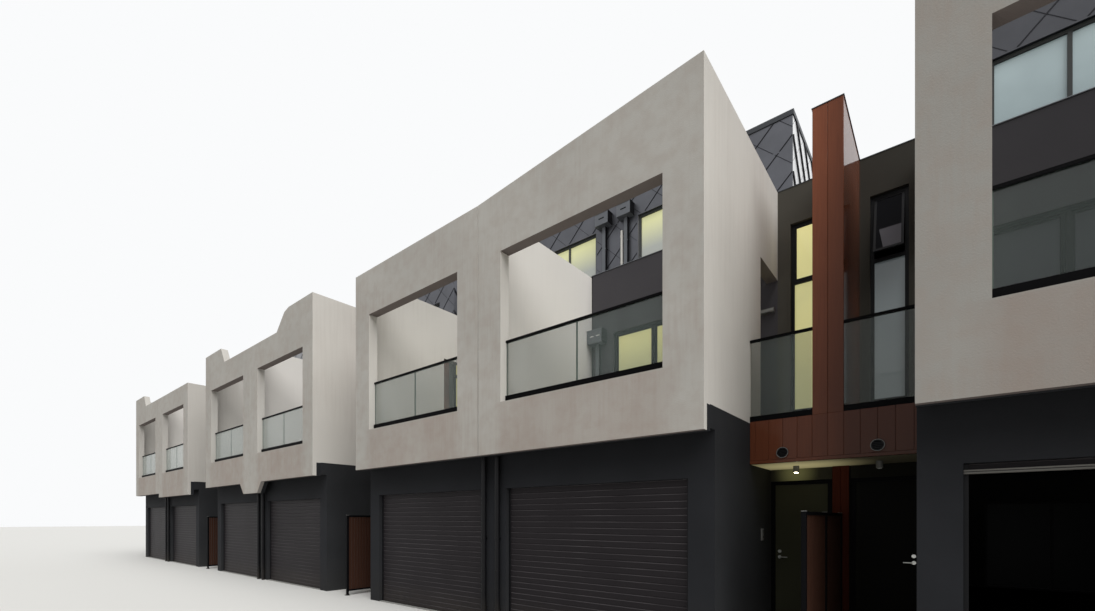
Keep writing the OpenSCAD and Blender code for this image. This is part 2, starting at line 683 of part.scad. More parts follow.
// Balustrades: a channel at the foot and a rail on top, with glass between
module rails(x0, x1, y, foot_z, channel_h, top_z) {
  block(x0, x1, y, y + rail_d, foot_z, foot_z + channel_h);
  block(x0, x1, y, y + rail_d, top_z - rail_h, top_z);
}
module sheets(x0, x1, y, foot_z, channel_h, top_z, count) {
  sheet_w = (x1 - x0 - (count + 1) * sheet_gap) / count;
  for (i = [0 : count - 1]) translate([x0 + sheet_gap + i * (sheet_w + sheet_gap), 0, 0])
    block(0, sheet_w, y + (rail_d - balustrade_t) / 2, y + (rail_d + balustrade_t) / 2,
      foot_z + channel_h, top_z - rail_h);
}
module balcony_rails(x1) rails(0, x1, fascia_y, balcony_z, balcony_channel_h, balcony_rail_z);
module balcony_sheet(x1) sheets(0, x1, fascia_y, balcony_z, balcony_channel_h, balcony_rail_z, 1);
// A balcony runs from the house's side to the blade, or to the end wall of the row
function balcony_end_x(pair, side) =
  half_link - ((pair == 0 && side == 1) || (pair == open_pair && side == 0) ? half_party : blade_w / 2);
module balustrade_rails() color("#141416") {
  at_houses() rails(opening_x0, opening_x1, balustrade_y, opening_sill_z,
    terrace_channel_h, terrace_rail_z);
  at_link_sides() balcony_rails(balcony_end_x($pair, $side));
}
module balustrade_glass() color("#a9b8b2", 0.35) {
  at_houses() sheets(opening_x0, opening_x1, balustrade_y, opening_sill_z,
    terrace_channel_h, terrace_rail_z, 2);
  at_link_sides() balcony_sheet(balcony_end_x($pair, $side));
}

// Back wall of the terraces and of the links
frame_y = back_wall_y + frame_set;
upper_frame_y = upper_front_y + frame_set;
upper_sill_z = upper_head_z - upper_door_h;
link_window_h = link_window_head_z - link_window_sill_z;
third_bars = [1 / 3, 2 / 3];
module terrace_walls() color("#353431") at_houses() upright(back_wall_y, wall_t) difference() {
  rect(half_party, half_pair, first_floor_z, parapet_z);
  rect(terrace_door_x, terrace_door_x + terrace_door_w, first_floor_z - cut, first_floor_z + terrace_door_h);
}
module link_walls() color("#353431") at_link_sides() upright(back_wall_y, wall_t) difference() {
  rect(0, link_clear_w, first_floor_z, raised_top_z);
  rect(link_window_x, link_window_x + link_window_w, link_window_sill_z, link_window_head_z);
}
module glazed_door_frames() color("#141416") at_houses() {
  frame(terrace_door_x, first_floor_z, terrace_door_w, terrace_door_h, frame_y, third_bars);
  frame(upper_door_x, upper_sill_z, upper_door_w, upper_door_h, upper_frame_y, third_bars);
}
module link_window_frames() color("#141416") at_link_sides()
  frame(link_window_x, link_window_sill_z, link_window_w, link_window_h, frame_y, [], [link_transom_z]);
// The lower light is fixed glass, the upper one a top-hung sash
link_lights = lights(link_window_x, link_window_sill_z, link_window_w, link_window_h, [], [link_transom_z]);
fixed_light = link_lights[0];
sash_light = link_lights[1];
sash_x0 = sash_light[0] + sash_gap;
sash_x1 = sash_light[1] - sash_gap;
sash_h = sash_light[3] - sash_light[2] - 2 * sash_gap;
// Only one sash stands open: the one beside the last pair's left house
module sash_place() translate([0, frame_y, sash_light[3] - sash_gap])
  rotate([garage_is_open($pair, $side) ? -vent_angle : 0, 0, 0]) children();
module vent_sashes() color("#1f2023") at_link_sides() sash_place() upright(0, sash_t) difference() {
  rect(sash_x0, sash_x1, -sash_h, 0);
  rect(sash_x0 + sash_w, sash_x1 - sash_w, -sash_h + sash_w, -sash_w);
}
module window_glass() color("#c3c8a8", 0.6) {
  at_houses() {
    panes(terrace_door_x, first_floor_z, terrace_door_w, terrace_door_h, frame_y, third_bars);
    panes(upper_door_x, upper_sill_z, upper_door_w, upper_door_h, upper_frame_y, third_bars);
    for (o = rear_openings) panes(o[0], o[1], o[2], o[3], rear_frame_y, o[4]);
  }
  at_link_sides() {
    upright(frame_y + pane_set, pane_t) rect(fixed_light[0], fixed_light[1], fixed_light[2], fixed_light[3]);
    sash_place() upright((sash_t - pane_t) / 2, pane_t)
      rect(sash_x0 + sash_w, sash_x1 - sash_w, -sash_h + sash_w, -sash_w);
  }
}

// Rainwater heads and square downpipes on the terrace wall, the upper front and the rear
// A head is a box that narrows on three sides to its pipe: its front view meets its side view
module rainwater_head(y, top_z) translate([head_x, y, top_z]) intersection() {
  upright(-head_d - cut, head_d + cut) polygon([
    [-head_w / 2, 0], [-head_w / 2, -head_box_h], [-square_pipe_w / 2, -head_h],
    [square_pipe_w / 2, -head_h], [head_w / 2, -head_box_h], [head_w / 2, 0]
  ]);
  crosswise(-head_w / 2 - cut, head_w + 2 * cut) polygon([
    [cut, cut], [-head_d, cut], [-head_d, -head_box_h], [-square_pipe_d, -head_h],
    [-square_pipe_d, -head_h - cut], [cut, -head_h - cut]
  ]);
}
module headed_pipe(y, foot_z, top_z) {
  rainwater_head(y, top_z);
  block(head_x - square_pipe_w / 2, head_x + square_pipe_w / 2, y - square_pipe_d, y, foot_z, top_z - head_h);
}
module square_downpipes() color("#1b1b1d") at_houses() {
  headed_pipe(back_wall_y, first_floor_z, terrace_head_z);
  headed_pipe(upper_front_y, upper_floor_z, roof_under_z - upper_head_drop);
  block(half_pair - rear_pipe_inset, half_pair - rear_pipe_inset + square_pipe_w, house_depth, row_depth,
    0, roof_under_z);
}

// Upper storey
module upper_front_walls() color("#5a5a62") at_pairs() upright(upper_front_y, upper_wall_t) difference() {
  rect(-upper_side_x + upper_wall_t, upper_side_x - upper_wall_t, upper_floor_z, roof_under_z);
  for (side = [0, 1]) mirror([side, 0])
    rect(upper_door_x, upper_door_x + upper_door_w, upper_sill_z, upper_head_z);
}
// The side walls carry on as the parapet's returns in front of the upper storey
module upper_side_walls() color("#5a5a62") at_houses() crosswise(upper_side_x - upper_wall_t, upper_wall_t)
  polygon([
    [wall_back_y, upper_floor_z], [rear_inner_y, upper_floor_z], [rear_inner_y, roof_under_z],
    [upper_front_y, roof_under_z], [upper_front_y, parapet_z], [wall_back_y, parapet_z]
  ]);
module roof_plan(reach) translate([-upper_side_x - reach, upper_front_y - reach])
  square([2 * upper_side_x + 2 * reach, house_depth - upper_front_y + 2 * reach]);
// Flat roofs over the upper storeys, and lower ones over the links
module roofs() color("#6b6d70") {
  at_pairs() translate([0, 0, roof_under_z]) linear_extrude(roof_t) roof_plan(0);
  at_houses() block(upper_side_x, house_inner_x, wall_back_y, rear_inner_y, parapet_z - link_roof_t, parapet_z);
}
// Cappings on the roof's edge, and thin ones on the link walls and blades
module link_capping(x0, x1) rect(x0, x1, back_wall_y - thin_capping_reach, wall_back_y + thin_capping_reach);
module blade_capping() let (reach = blade_w / 2 + thin_capping_reach)
  rect(-reach, reach, fascia_y - thin_capping_reach, back_wall_y);
module cappings() color("#26272a") {
  at_pairs() translate([0, 0, roof_top_z]) linear_extrude(capping_h) difference() {
    roof_plan(capping_reach);
    roof_plan(capping_reach - capping_w);
  }
  translate([0, 0, raised_top_z]) linear_extrude(thin_capping_t) {
    at_links() link_capping(-half_link, half_link);
    at_links() blade_capping();
    at_ends() link_capping(-half_link, half_party);
  }
}

// Rear wall, which repeats the storeys plainly
rear_frame_y = house_depth - frame_set - frame_d;
rear_sill_1 = first_floor_z + rear_sill_h;
rear_sill_2 = upper_floor_z + rear_sill_h;
// Rear openings of a house as x, z, width, height and upright bars
rear_openings = [
  [rear_x, ground_slab_t, garden_door_w, garden_door_h, [0.5]],
  [rear_x, rear_sill_1, rear_window_w, rear_window_h, [0.5]],
  [rear_x, rear_sill_2, rear_window_w, rear_window_h, [0.5]],
  [half_pair + small_window_x, rear_sill_1, small_window_w, rear_window_h, []]
];
module rear_cuts() for (o = rear_openings) translate([o[0], o[1]]) square([o[2], o[3]]);
module rear_walls() color("#b4afa7") at_houses() upright(rear_inner_y, wall_t) difference() {
  polygon([
    [0, 0], [house_inner_x, 0], [house_inner_x, raised_top_z], [upper_side_x, raised_top_z],
    [upper_side_x, upper_floor_z], [0, upper_floor_z]
  ]);
  rear_cuts();
}
module upper_rear_walls() color("#b4afa7") at_houses() upright(rear_inner_y, wall_t) difference() {
  rect(0, upper_side_x, upper_floor_z, roof_under_z);
  rear_cuts();
}
module rear_frames() color("#141416") at_houses()
  for (o = rear_openings) frame(o[0], o[1], o[2], o[3], rear_frame_y, o[4]);

ground_slabs();
garage_piers();
garage_lintels();
garage_doors();
raised_garage_door();
box_side_walls();
party_walls();
upper_party_walls();
end_walls();
entry_lintels();
door_frames();
entry_doors();
entry_handles();
entry_door_left();
entry_door_right();
entry_handle_left();
entry_handle_right();
porch_soffits();
divider_frames();
divider_battens();
front_downpipes();
vents();
downlights();
wall_fittings();
terrace_slabs();
balcony_slabs();
inner_floors();
timber_fascias();
timber_blades();
front_screens();
side_screens();
terrace_fins();
balustrade_rails();
balustrade_glass();
terrace_walls();
link_walls();
glazed_door_frames();
link_window_frames();
vent_sashes();
window_glass();
square_downpipes();
upper_front_walls();
upper_side_walls();
roofs();
cappings();
rear_walls();
upper_rear_walls();
rear_frames();
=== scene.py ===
"""Looks of a terraced house row: finishes, boards, seams, tiles, glass and fittings."""

import logging
import math
import random
from dataclasses import dataclass
from enum import Enum
from functools import partial
from typing import Any, Iterable

import bmesh
import bpy
from mathutils import Matrix, Vector


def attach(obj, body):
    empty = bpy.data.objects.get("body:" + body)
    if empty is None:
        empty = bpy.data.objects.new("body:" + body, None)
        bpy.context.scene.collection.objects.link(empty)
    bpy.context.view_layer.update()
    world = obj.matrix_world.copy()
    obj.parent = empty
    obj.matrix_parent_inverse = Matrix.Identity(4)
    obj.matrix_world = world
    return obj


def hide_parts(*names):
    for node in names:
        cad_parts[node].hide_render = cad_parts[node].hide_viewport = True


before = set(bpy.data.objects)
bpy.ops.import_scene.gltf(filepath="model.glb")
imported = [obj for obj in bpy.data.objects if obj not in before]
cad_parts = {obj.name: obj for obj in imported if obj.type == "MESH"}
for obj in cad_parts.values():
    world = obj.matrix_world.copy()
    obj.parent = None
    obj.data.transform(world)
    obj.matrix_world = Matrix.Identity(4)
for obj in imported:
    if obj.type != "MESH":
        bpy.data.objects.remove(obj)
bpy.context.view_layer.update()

LOG = logging.getLogger("house_row")
MM = 0.001
Span = tuple[float, float]
Point = tuple[float, float, float]
Socket = bpy.types.NodeSocket
Verts = list[bmesh.types.BMVert]
# A box's spans in x, y and z, and the width of its eased edges where they are eased
Box = tuple[Any, ...]


# Places and levels
class Side(Enum):
    """Which house of a mirrored pair: the value is the sign of its x."""

    RIGHT = 1
    LEFT = -1


@dataclass(frozen=True)
class Row:
    """Main sizes of the row in metres, as the part's source has them.

    A house's own frame has x from the middle of its pair, y from the street front into the
    house and z from the ground. A link's has x from the middle of the link.
    """

    pairs: int = 4
    half_pair: float = 3.9
    half_link: float = 1.0
    half_party: float = 0.12
    wall_t: float = 0.25
    half_depth: float = 6.0325
    house_depth: float = 12.0
    garage_y: float = 0.38
    fascia_y: float = 1.87
    fascia_back_y: float = 1.93
    entry_y: float = 3.04
    back_y: float = 3.5
    upper_y: float = 4.78
    upper_side_x: float = 3.87
    garage_head: float = 2.4
    porch_z: float = 2.68
    floor_1: float = 3.3
    balcony_z: float = 3.315
    floor_2: float = 6.3
    parapet: float = 7.32
    link_top: float = 7.57
    roof_under: float = 9.59
    roof_top: float = 9.75
    opening_x: Span = (0.53, 3.37)
    opening_z: Span = (3.81, 6.32)

    @property
    def module(self) -> float:
        """Distance from one pair to the next."""
        return 2 * (self.half_pair + self.half_link)

    def along(self, modules: float) -> float:
        """X of a place that is counted in modules from the row's left end."""
        return (modules - self.pairs / 2) * self.module

    def house(self, pair: int, side: Side) -> Matrix:
        """Transform from one house's own frame to the row frame."""
        mirror = Matrix.Diagonal((side.value, 1, 1, 1))
        return Matrix.Translation((self.along(pair + 0.5), -self.half_depth, 0)) @ mirror

    def link(self, link: int) -> Matrix:
        """Transform from one link's own frame to the row frame."""
        return Matrix.Translation((self.along(link), -self.half_depth, 0))

    def houses(self) -> list[tuple[int, Side]]:
        """Every house as its pair and side."""
        return [(pair, side) for pair in range(self.pairs) for side in Side]


@dataclass(frozen=True)
class Window:
    """A window's lower left corner, size, frame front and lights, in a house's own frame."""

    x: float
    z: float
    w: float
    h: float
    frame_y: float
    lights: int = 1


ROW = Row()
OPEN_PAIR = ROW.pairs - 1
OPEN_HOUSE = (OPEN_PAIR, Side.LEFT)
LAST_X = ROW.along(OPEN_PAIR)
ALL_HOUSES = [ROW.house(*house) for house in ROW.houses()]
CLOSED_HOUSES = [ROW.house(*house) for house in ROW.houses() if house != OPEN_HOUSE]
RIGHT_HOUSES = [ROW.house(pair, Side.RIGHT) for pair in range(ROW.pairs)]
INNER_LINKS = [ROW.link(link) for link in range(1, ROW.pairs)]
DOORS = Window(0.64, 3.3, 2.75, 2.63, 3.56, 3)
UPPERS = Window(0.58, 6.41, 2.57, 2.7, 4.84, 3)
STAIR = Window(4.1, 3.7, 0.48, 3.24, 3.56)
REAR_GARAGE = Window(0.5, 0.08, 2.4, 2.2, 11.84, 2)
REAR_WINDOWS = (Window(0.5, 4.2, 1.8, 1.3, 11.84, 2), Window(0.5, 7.2, 1.8, 1.3, 11.84, 2),
                Window(4.0, 4.2, 0.6, 1.3, 11.84))


def about(middle: float, half: float) -> Span:
    """Span that reaches half its width to both sides of a middle."""
    return middle - half, middle + half


def within(span: Span, margin: float) -> Span:
    """Span that is left inside a margin at both ends."""
    return span[0] + margin, span[1] - margin


def moved(span: Span, by: float) -> Span:
    """Span that is moved along its axis."""
    return span[0] + by, span[1] + by


# Finishes
def linear(colour: str) -> tuple[float, ...]:
    """Turns an sRGB hex colour to linear light.

    Args:
        colour: the colour as "#rrggbb".

    Returns:
        Linear red, green, blue and a full alpha.
    """
    values = [int(colour[i:i + 2], 16) / 255 for i in (1, 3, 5)]
    return *(v / 12.92 if v <= 0.04045 else ((v + 0.055) / 1.055) ** 2.4 for v in values), 1.0


def add_node(tree: bpy.types.NodeTree, kind: str, inputs: dict[Any, Any] | tuple[Any, ...] = (),
             output: int | str = 0, **settings: Any) -> Socket | None:
    """Adds a node, sets its properties, and fills or links its inputs.

    Args:
        tree: the material's or world's node tree.
        kind: the node's type name after "ShaderNode".
        inputs: values and other nodes' outputs, by name or number or in the inputs' order.
        output: name or number of the output to return.
        settings: the node's own properties.

    Returns:
        That output's socket, where the node has one.
    """
    node = tree.nodes.new("ShaderNode" + kind)
    for name, value in settings.items():
        setattr(node, name, value)
    for name, value in inputs.items() if isinstance(inputs, dict) else enumerate(inputs):
        if isinstance(value, Socket):
            tree.links.new(value, node.inputs[name])
        else:
            node.inputs[name].default_value = value
    return node.outputs[output] if node.outputs else None


class Surface:
    """A material in the making: its nodes, the object's coordinates and the colour so far."""

    def __init__(self, name: str, colour: str, shader: dict[str, Any]) -> None:
        """Starts a material.

        Args:
            name: its name.
            colour: its main colour.
            shader: values of the shader's sockets.
        """
        self.material = bpy.data.materials.new(name)
        self.material.use_nodes = True
        self.material.diffuse_color = linear(colour)
        self.tree = self.material.node_tree
        self.tree.nodes.clear()
        self.add = partial(add_node, self.tree)
        bsdf = self.add("BsdfPrincipled", {"Base Color": linear(colour), **shader})
        self.shader = bsdf.node
        self.add("OutputMaterial", {"Surface": bsdf})
        self.place = self.add("TexCoord", output="Object")
        self.x, self.y, self.z = self.add("SeparateXYZ", (self.place,)).node.outputs
        self.base: Socket | None = None

    def feed(self, name: str, socket: Socket) -> None:
        """Links an output to the shader's input of that name."""
        self.tree.links.new(socket, self.shader.inputs[name])

    def lay(self, share: Socket, colour: str) -> None:
        """Lays a colour over the one so far.

        Args:
            share: how much of the new colour shows.
            colour: the new colour.
        """
        # Inputs 0, 6 and 7 are the share and the two colours, and output 2 is the mixed one
        self.base = self.add("Mix", {0: share, 6: self.base, 7: linear(colour)}, 2, data_type="RGBA")
        self.feed("Base Color", self.base)


@dataclass(frozen=True)
class Finish:
    """A coat of one colour, a little cloudy, over a fine grain.

    The last and first pair shades darken it over the last pair and towards the first: painted shade.
    """

    name: str
    colour: str
    roughness: float = 0.6
    metallic: float = 0.0
    coat: float = 0.0
    coat_ior: float = 1.5
    coat_roughness: float = 0.08
    specular: float = 0.5
    cloud: float = 0.08
    cloud_m: float = 0.9
    cloud_cut: Span = (0.3, 0.7)
    grain_mm: float = 6.0
    grain_depth_mm: float = 0.2
    last_pair_shade: float = 1.0
    last_fade: float = 0.25
    first_pair_shade: float = 1.0

    def material(self) -> bpy.types.Material:
        """Gives the material, which is made on first use.

        Returns:
            The material.
        """
        ready = bpy.data.materials.get(self.name)
        if ready:
            return ready
        surface = Surface(self.name, self.colour, {
            "Roughness": self.roughness, "Metallic": self.metallic,
            "Specular IOR Level": self.specular, "Coat Weight": self.coat,
            "Coat IOR": self.coat_ior, "Coat Roughness": self.coat_roughness})
        self.dress(surface)
        return surface.material

    def dress(self, surface: Surface) -> None:
        """Adds the cloud and the grain."""
        self.tone(surface)
        self.grain(surface)

    def tone(self, surface: Surface) -> None:
        """Clouds the colour.

        Args:
            surface: the material in the making.
        """
        noise = surface.add("TexNoise", {
            "Vector": surface.place, "Scale": 1 / self.cloud_m, "Detail": 4.0})
        self.shade(surface, surface.add("MapRange", (noise, *self.cloud_cut, *about(1, self.cloud))))

    def shade(self, surface: Surface, share: Socket) -> None:
        """Multiplies the colour by a share, and by the painted shade of the last and the first pairs.

        Args:
            surface: the material in the making.
            share: the factor's socket.
        """
        # Painted shade: darker over the last pair and towards the first
        for ramp in ((*about(LAST_X, self.last_fade), 1.0, self.last_pair_shade),
                     (-ROW.module, 0.0, self.first_pair_shade, 1.0)):
            if ramp[2] != ramp[3]:
                tone = surface.add("MapRange", (surface.x, *ramp))
                share = surface.add("Math", (share, tone), operation="MULTIPLY")
        surface.base = surface.add("VectorMath", {0: linear(self.colour)[:3], 3: share},
                                   operation="SCALE")
        surface.feed("Base Color", surface.base)

    def grain(self, surface: Surface, height: Socket | None = None) -> None:
        """Adds the fine bumps.

        Args:
            surface: the material in the making.
            height: the pattern that rises, where it isn't a plain grain.
        """
        if not self.grain_depth_mm:
            return
        height = height or surface.add("TexNoise", {
            "Vector": surface.place, "Scale": 1 / (self.grain_mm * MM), "Detail": 3.0})
        surface.feed("Normal", surface.add("Bump", {
            "Height": height, "Strength": 1.0, "Distance": self.grain_depth_mm * MM}))


@dataclass(frozen=True)
class SprayedRender(Finish):
    """Sprayed render: a coarse grain, with faint streaks that rain has drawn down it.

    The hem is the foot of a screen, painted near-black behind its thin front edge as painted
    shade. The runs are brown and start at the sills of the terrace openings. A control joint
    splits a screen at its middle and fades out under the fin.
    """

    roughness: float = 0.92
    specular: float = 0.2
    cloud_m: float = 1.6
    grain_mm: float = 16.0
    grain_depth_mm: float = 2.0
    stain: str = "#95857A"
    streak: float = 0.22
    streak_mm: float = 70.0
    streak_stretch: float = 0.06
    streak_cut: Span = (0.22, 0.42)
    wide_m: float = 1 / 0.7
    mottle: float = 0.0
    mottle_mm: float = 180.0
    mottle_cut: Span = (0.4, 0.66)
    run: str = "#8A7468"
    run_share: float = 0.0
    run_m: float = 1 / 1.6
    run_stretch: float = 0.35
    run_cut: Span = (0.3, 0.65)
    run_least: float = 0.45
    run_inner: Span = (-0.15, 0.1)
    run_outer: Span = (-0.1, 0.25)
    run_top: Span = (-0.03, 0.02)
    joint: str = "#4A4744"
    joint_half: float = 0.0
    joint_fade: tuple[float, ...] = (4.4, 5.6, 0.8, 0.0)
    under: str = "#635956"
    under_shade_cut: Span = (-0.4, -0.8)
    under_shade_share: float = 0.88
    hem_t: float = 0.0
    hem_z: float = 3.29
    hem_shade: str = "#232427"
    inside_shade: str = "#3A3A38"
    inside_shade_behind: float | None = None

    def dress(self, surface: Surface) -> None:
        """Adds cloud, streaks, spots, runs, painted shade on undersides, hem and inside, and grain.

        Args:
            surface: the material in the making.
        """
        add, place = surface.add, surface.place
        self.tone(surface)
        long = add("Mapping", {"Vector": place, "Scale": (1, 1, self.streak_stretch)})
        fine = add("TexNoise", {"Vector": long, "Scale": 1 / (self.streak_mm * MM), "Detail": 3.0})
        wide = add("TexNoise", {"Vector": place, "Scale": 1 / self.wide_m, "Detail": 2.0})
        both = add("Math", (fine, wide), operation="MULTIPLY")
        surface.lay(add("MapRange", (both, *self.streak_cut, 0.0, self.streak)), self.stain)
        if self.mottle:
            spots = add("TexNoise", {
                "Vector": place, "Scale": 1 / (self.mottle_mm * MM), "Detail": 5.0})
            surface.lay(add("MapRange", (spots, *self.mottle_cut, 0.0, self.mottle)), self.stain)
        if self.run_share:
            self._runs(surface)
        # Painted shade: faces that look down are darkened towards the under colour
        normal = add("NewGeometry", output="True Normal")
        facing = add("SeparateXYZ", (normal,), "Z")
        surface.lay(add("MapRange", (facing, *self.under_shade_cut, 0.0, self.under_shade_share)), self.under)
        # Painted shade: the hem is near-black behind its front edge
        if self.hem_t:
            low = add("Math", (surface.z, self.hem_z), operation="LESS_THAN")
            back = add("Math", (surface.y, self.hem_t - ROW.half_depth), operation="GREATER_THAN")
            surface.lay(add("Math", (low, back), operation="MULTIPLY"), self.hem_shade)
        # Painted shade: the wall's inside, which only an open garage shows, is dark
        if self.inside_shade_behind is not None:
            inside = add("Math", (surface.y, self.inside_shade_behind), operation="LESS_THAN")
            surface.lay(inside, self.inside_shade)
        self.grain(surface)

    def _runs(self, surface: Surface) -> None:
        """Adds the brown runs under the openings and the control joint.

        Args:
            surface: the material in the making.
        """
        add = surface.add
        across = surface.x
        for operation, amount in (("FLOORED_MODULO", ROW.module), ("SUBTRACT", ROW.module / 2),
                                  ("ABSOLUTE", 0.0)):
            across = add("Math", (across, amount), operation=operation)
        long = add("Mapping", {"Vector": surface.place, "Scale": (1, 1, self.run_stretch)})
        drips = add("TexNoise", {"Vector": long, "Scale": 1 / self.run_m, "Detail": 3.0})
        share = add("MapRange", (drips, *self.run_cut, self.run_least * self.run_share,
                                 self.run_share))
        for place, edge, fade, ends in (
                (across, ROW.opening_x[0], self.run_inner, (0.0, 1.0)),
                (across, ROW.opening_x[1], self.run_outer, (1.0, 0.0)),
                (surface.z, ROW.opening_z[0], self.run_top, (1.0, 0.0))):
            field = add("MapRange", (place, *moved(fade, edge), *ends))
            share = add("Math", (share, field), operation="MULTIPLY")
        surface.lay(share, self.run)
        slit = add("Math", (across, self.joint_half), operation="LESS_THAN")
        fading = add("MapRange", (surface.z, *self.joint_fade))
        surface.lay(add("Math", (slit, fading), operation="MULTIPLY"), self.joint)


@dataclass(frozen=True)
class TimberBoards(Finish):
    """Oiled boards: long grain, a tone of its own for each board, and painted light that brightens
    them with height.
    """

    grain_depth_mm: float = 0.15
    board_tone: Span = (0.9, 1.1)
    dark: str = "#3C1C13"
    grain_along: Point = (1.0, 1.0, 0.03)
    vein_cut: Span = (0.42, 0.68)
    vein_share: float = 0.18
    # Painted light and shade: the boards darken below and brighten above these heights
    weather_z: Span = (3.6, 7.5)
    painted_light_tone: Span = (1.0, 1.0)

    def dress(self, surface: Surface) -> None:
        """Adds each board's tone, the painted light and shade that change it with height, and its long
        grain.

        Args:
            surface: the material in the making.
        """
        add = surface.add
        tint = add("Attribute", output="Fac", attribute_name="tint")
        own = add("MapRange", (tint, 0.0, 1.0, *self.board_tone))
        painted_height_light = add("MapRange", (surface.z, *self.weather_z, *self.painted_light_tone))
        self.shade(surface, add("Math", (own, painted_height_light), operation="MULTIPLY"))
        # Each board's grain starts at a place of its own
        start = add("VectorMath", (surface.place, tint.node.outputs["Vector"]), operation="ADD")
        along = add("Mapping", {"Vector": start, "Scale": self.grain_along})
        lines = add("TexNoise", {"Vector": along, "Scale": 1 / (self.grain_mm * MM),
                                 "Detail": 5.0, "Distortion": 0.6})
        surface.lay(add("MapRange", (lines, *self.vein_cut, 0.0, self.vein_share)), self.dark)
        self.grain(surface, lines)


@dataclass(frozen=True)
class DustyPaint(Finish):
    """A coat near the ground, with street dust low down and shade under the screens."""

    dust: str = "#5A534A"
    dust_top: float = 0.5
    dust_share: float = 0.35
    dust_m: float = 1 / 6.0
    shade_z: Span = (2.0, 2.75)
    shade_tone: float = 1.0

    def dress(self, surface: Surface) -> None:
        """Adds cloud, shade, dust and grain.

        Args:
            surface: the material in the making.
        """
        self.tone(surface)
        if self.shade_tone != 1.0:
            deep = surface.add("MapRange", (surface.z, *self.shade_z, 0.0, 1 - self.shade_tone))
            surface.lay(deep, "#000000")
        fade = surface.add("MapRange", (surface.z, 0.0, self.dust_top, self.dust_share, 0.0))
        patch = surface.add("TexNoise", {
            "Vector": surface.place, "Scale": 1 / self.dust_m, "Detail": 5.0})
        surface.lay(surface.add("Math", (fade, patch), operation="MULTIPLY"), self.dust)
        self.grain(surface)


@dataclass(frozen=True)
class SlatPaint(DustyPaint):
    """Dusty paint on roller slats, whose upper edges hold a thin pale line of dust and painted
    highlight.
    """

    pitch: float = 0.096
    ledge: float = 0.013
    ledge_share: float = 0.52
    ledge_least: float = 0.4
    ledge_dust_and_highlight: str = "#625E60"
    patch_m: float = 1 / 1.4
    patch_cut: Span = (0.36, 0.64)

    def dress(self, surface: Surface) -> None:
        """Adds dust and a painted highlight to each slat's upper edge.

        Args:
            surface: the material in the making.
        """
        super().dress(surface)
        add = surface.add
        # Dust and a painted highlight: a pale line on each slat's upper edge
        level = add("Math", (surface.z, self.pitch), operation="FLOORED_MODULO")
        line = add("Math", (level, self.pitch - self.ledge), operation="GREATER_THAN")
        patch = add("TexNoise", {
            "Vector": surface.place, "Scale": 1 / self.patch_m, "Detail": 4.0})
        kept = add("MapRange", (patch, *self.patch_cut, self.ledge_least * self.ledge_share,
                                self.ledge_share))
        surface.lay(add("Math", (line, kept), operation="MULTIPLY"), self.ledge_dust_and_highlight)


@dataclass(frozen=True)
class SheetMetal(Finish):
    """Metal sheet, dull where it is met square, with a painted reflection of the sky that makes it
    bright at a slant.
    """

    slant: str = "#FFFFFF"
    slant_cut: Span = (0.52, 0.86)

    def dress(self, surface: Surface) -> None:
        """Adds the painted slanted sheen between cloud and grain.

        Args:
            surface: the material in the making.
        """
        self.tone(surface)
        facing = surface.add("LayerWeight", {"Blend": 0.5}, "Facing")
        surface.lay(surface.add("MapRange", (facing, *self.slant_cut, 0.0, 1.0)), self.slant)
        self.grain(surface)


@dataclass(frozen=True)
class LampWashed(Finish):
    """Smooth paint with a pool of lamplight round a lamp of each link."""

    wash: str = "#E9DCA0"
    glow: float = 0.34
    near: float = 0.05
    reach: float = 1.1
    lamp: Point = (-0.52, 2.55, 2.58)

    def dress(self, surface: Surface) -> None:
        """Lights the paint round the lamps, which repeat with the links.

        Args:
            surface: the material in the making.
        """
        self.tone(surface)
        add, half = surface.add, ROW.module / 2
        off_x = surface.x
        for operation, amount in (("ADD", half - self.lamp[0]), ("FLOORED_MODULO", ROW.module),
                                  ("SUBTRACT", half)):
            off_x = add("Math", (off_x, amount), operation=operation)
        place = add("CombineXYZ", (off_x, surface.y, surface.z))
        lamp = (0.0, self.lamp[1] - ROW.half_depth, self.lamp[2])
        far = add("VectorMath", (place, lamp), "Value", operation="DISTANCE")
        surface.shader.inputs["Emission Color"].default_value = linear(self.wash)
        surface.feed("Emission Strength", add("MapRange", (
            far, self.near, self.reach, self.glow, 0.0), interpolation_type="SMOOTHSTEP"))


@dataclass(frozen=True)
class RoomGlass(Finish):
    """Window glass with a blind or a room close behind it, which fades to another colour.
    The fade is painted light and shade, and the glow painted light.

    The fade is in shares of a storey's rise over its foot. A blind that is drawn down only in
    part ends at a leaning side edge.
    """

    roughness: float = 0.06
    low: str = "#A7B08C"
    low_share: float = 0.85
    glow: float = 0.0
    foot: float = 3.3
    rise: float = 3.0
    fade: Span = (0.0, 1.0)
    veil: float = 0.0
    veil_m: float = 1 / 1.1
    veil_cut: Span = (0.38, 0.62)
    edge_x: float | None = None
    edge_lean: float = 0.17

    def dress(self, surface: Surface) -> None:
        """Fades the colour from head to foot of each storey's glass, as painted light and shade.

        Args:
            surface: the material in the making.
        """
        self.tone(surface)
        add = surface.add
        level = surface.z
        for operation, amount in (("SUBTRACT", self.foot), ("FLOORED_MODULO", self.rise)):
            level = add("Math", (level, amount), operation=operation)
        start, end = (share * self.rise for share in self.fade)
        share = add("MapRange", (level, start, end, self.low_share, 0.0))
        if self.edge_x is not None:
            across = add("Math", (level, self.edge_lean, surface.x), operation="MULTIPLY_ADD")
            inside = add("Math", (across, self.edge_x), operation="GREATER_THAN")
            share = add("Math", (share, inside), operation="MULTIPLY")
        surface.lay(share, self.low)
        if self.veil:
            folds = add("TexNoise", {
                "Vector": surface.place, "Scale": 1 / self.veil_m, "Detail": 1.0})
            surface.lay(add("MapRange", (folds, *self.veil_cut, 0.0, self.veil)), self.low)
        # Painted light: the glass glows with its own colour
        if self.glow:
            surface.feed("Emission Color", surface.base)
            surface.shader.inputs["Emission Strength"].default_value = self.glow


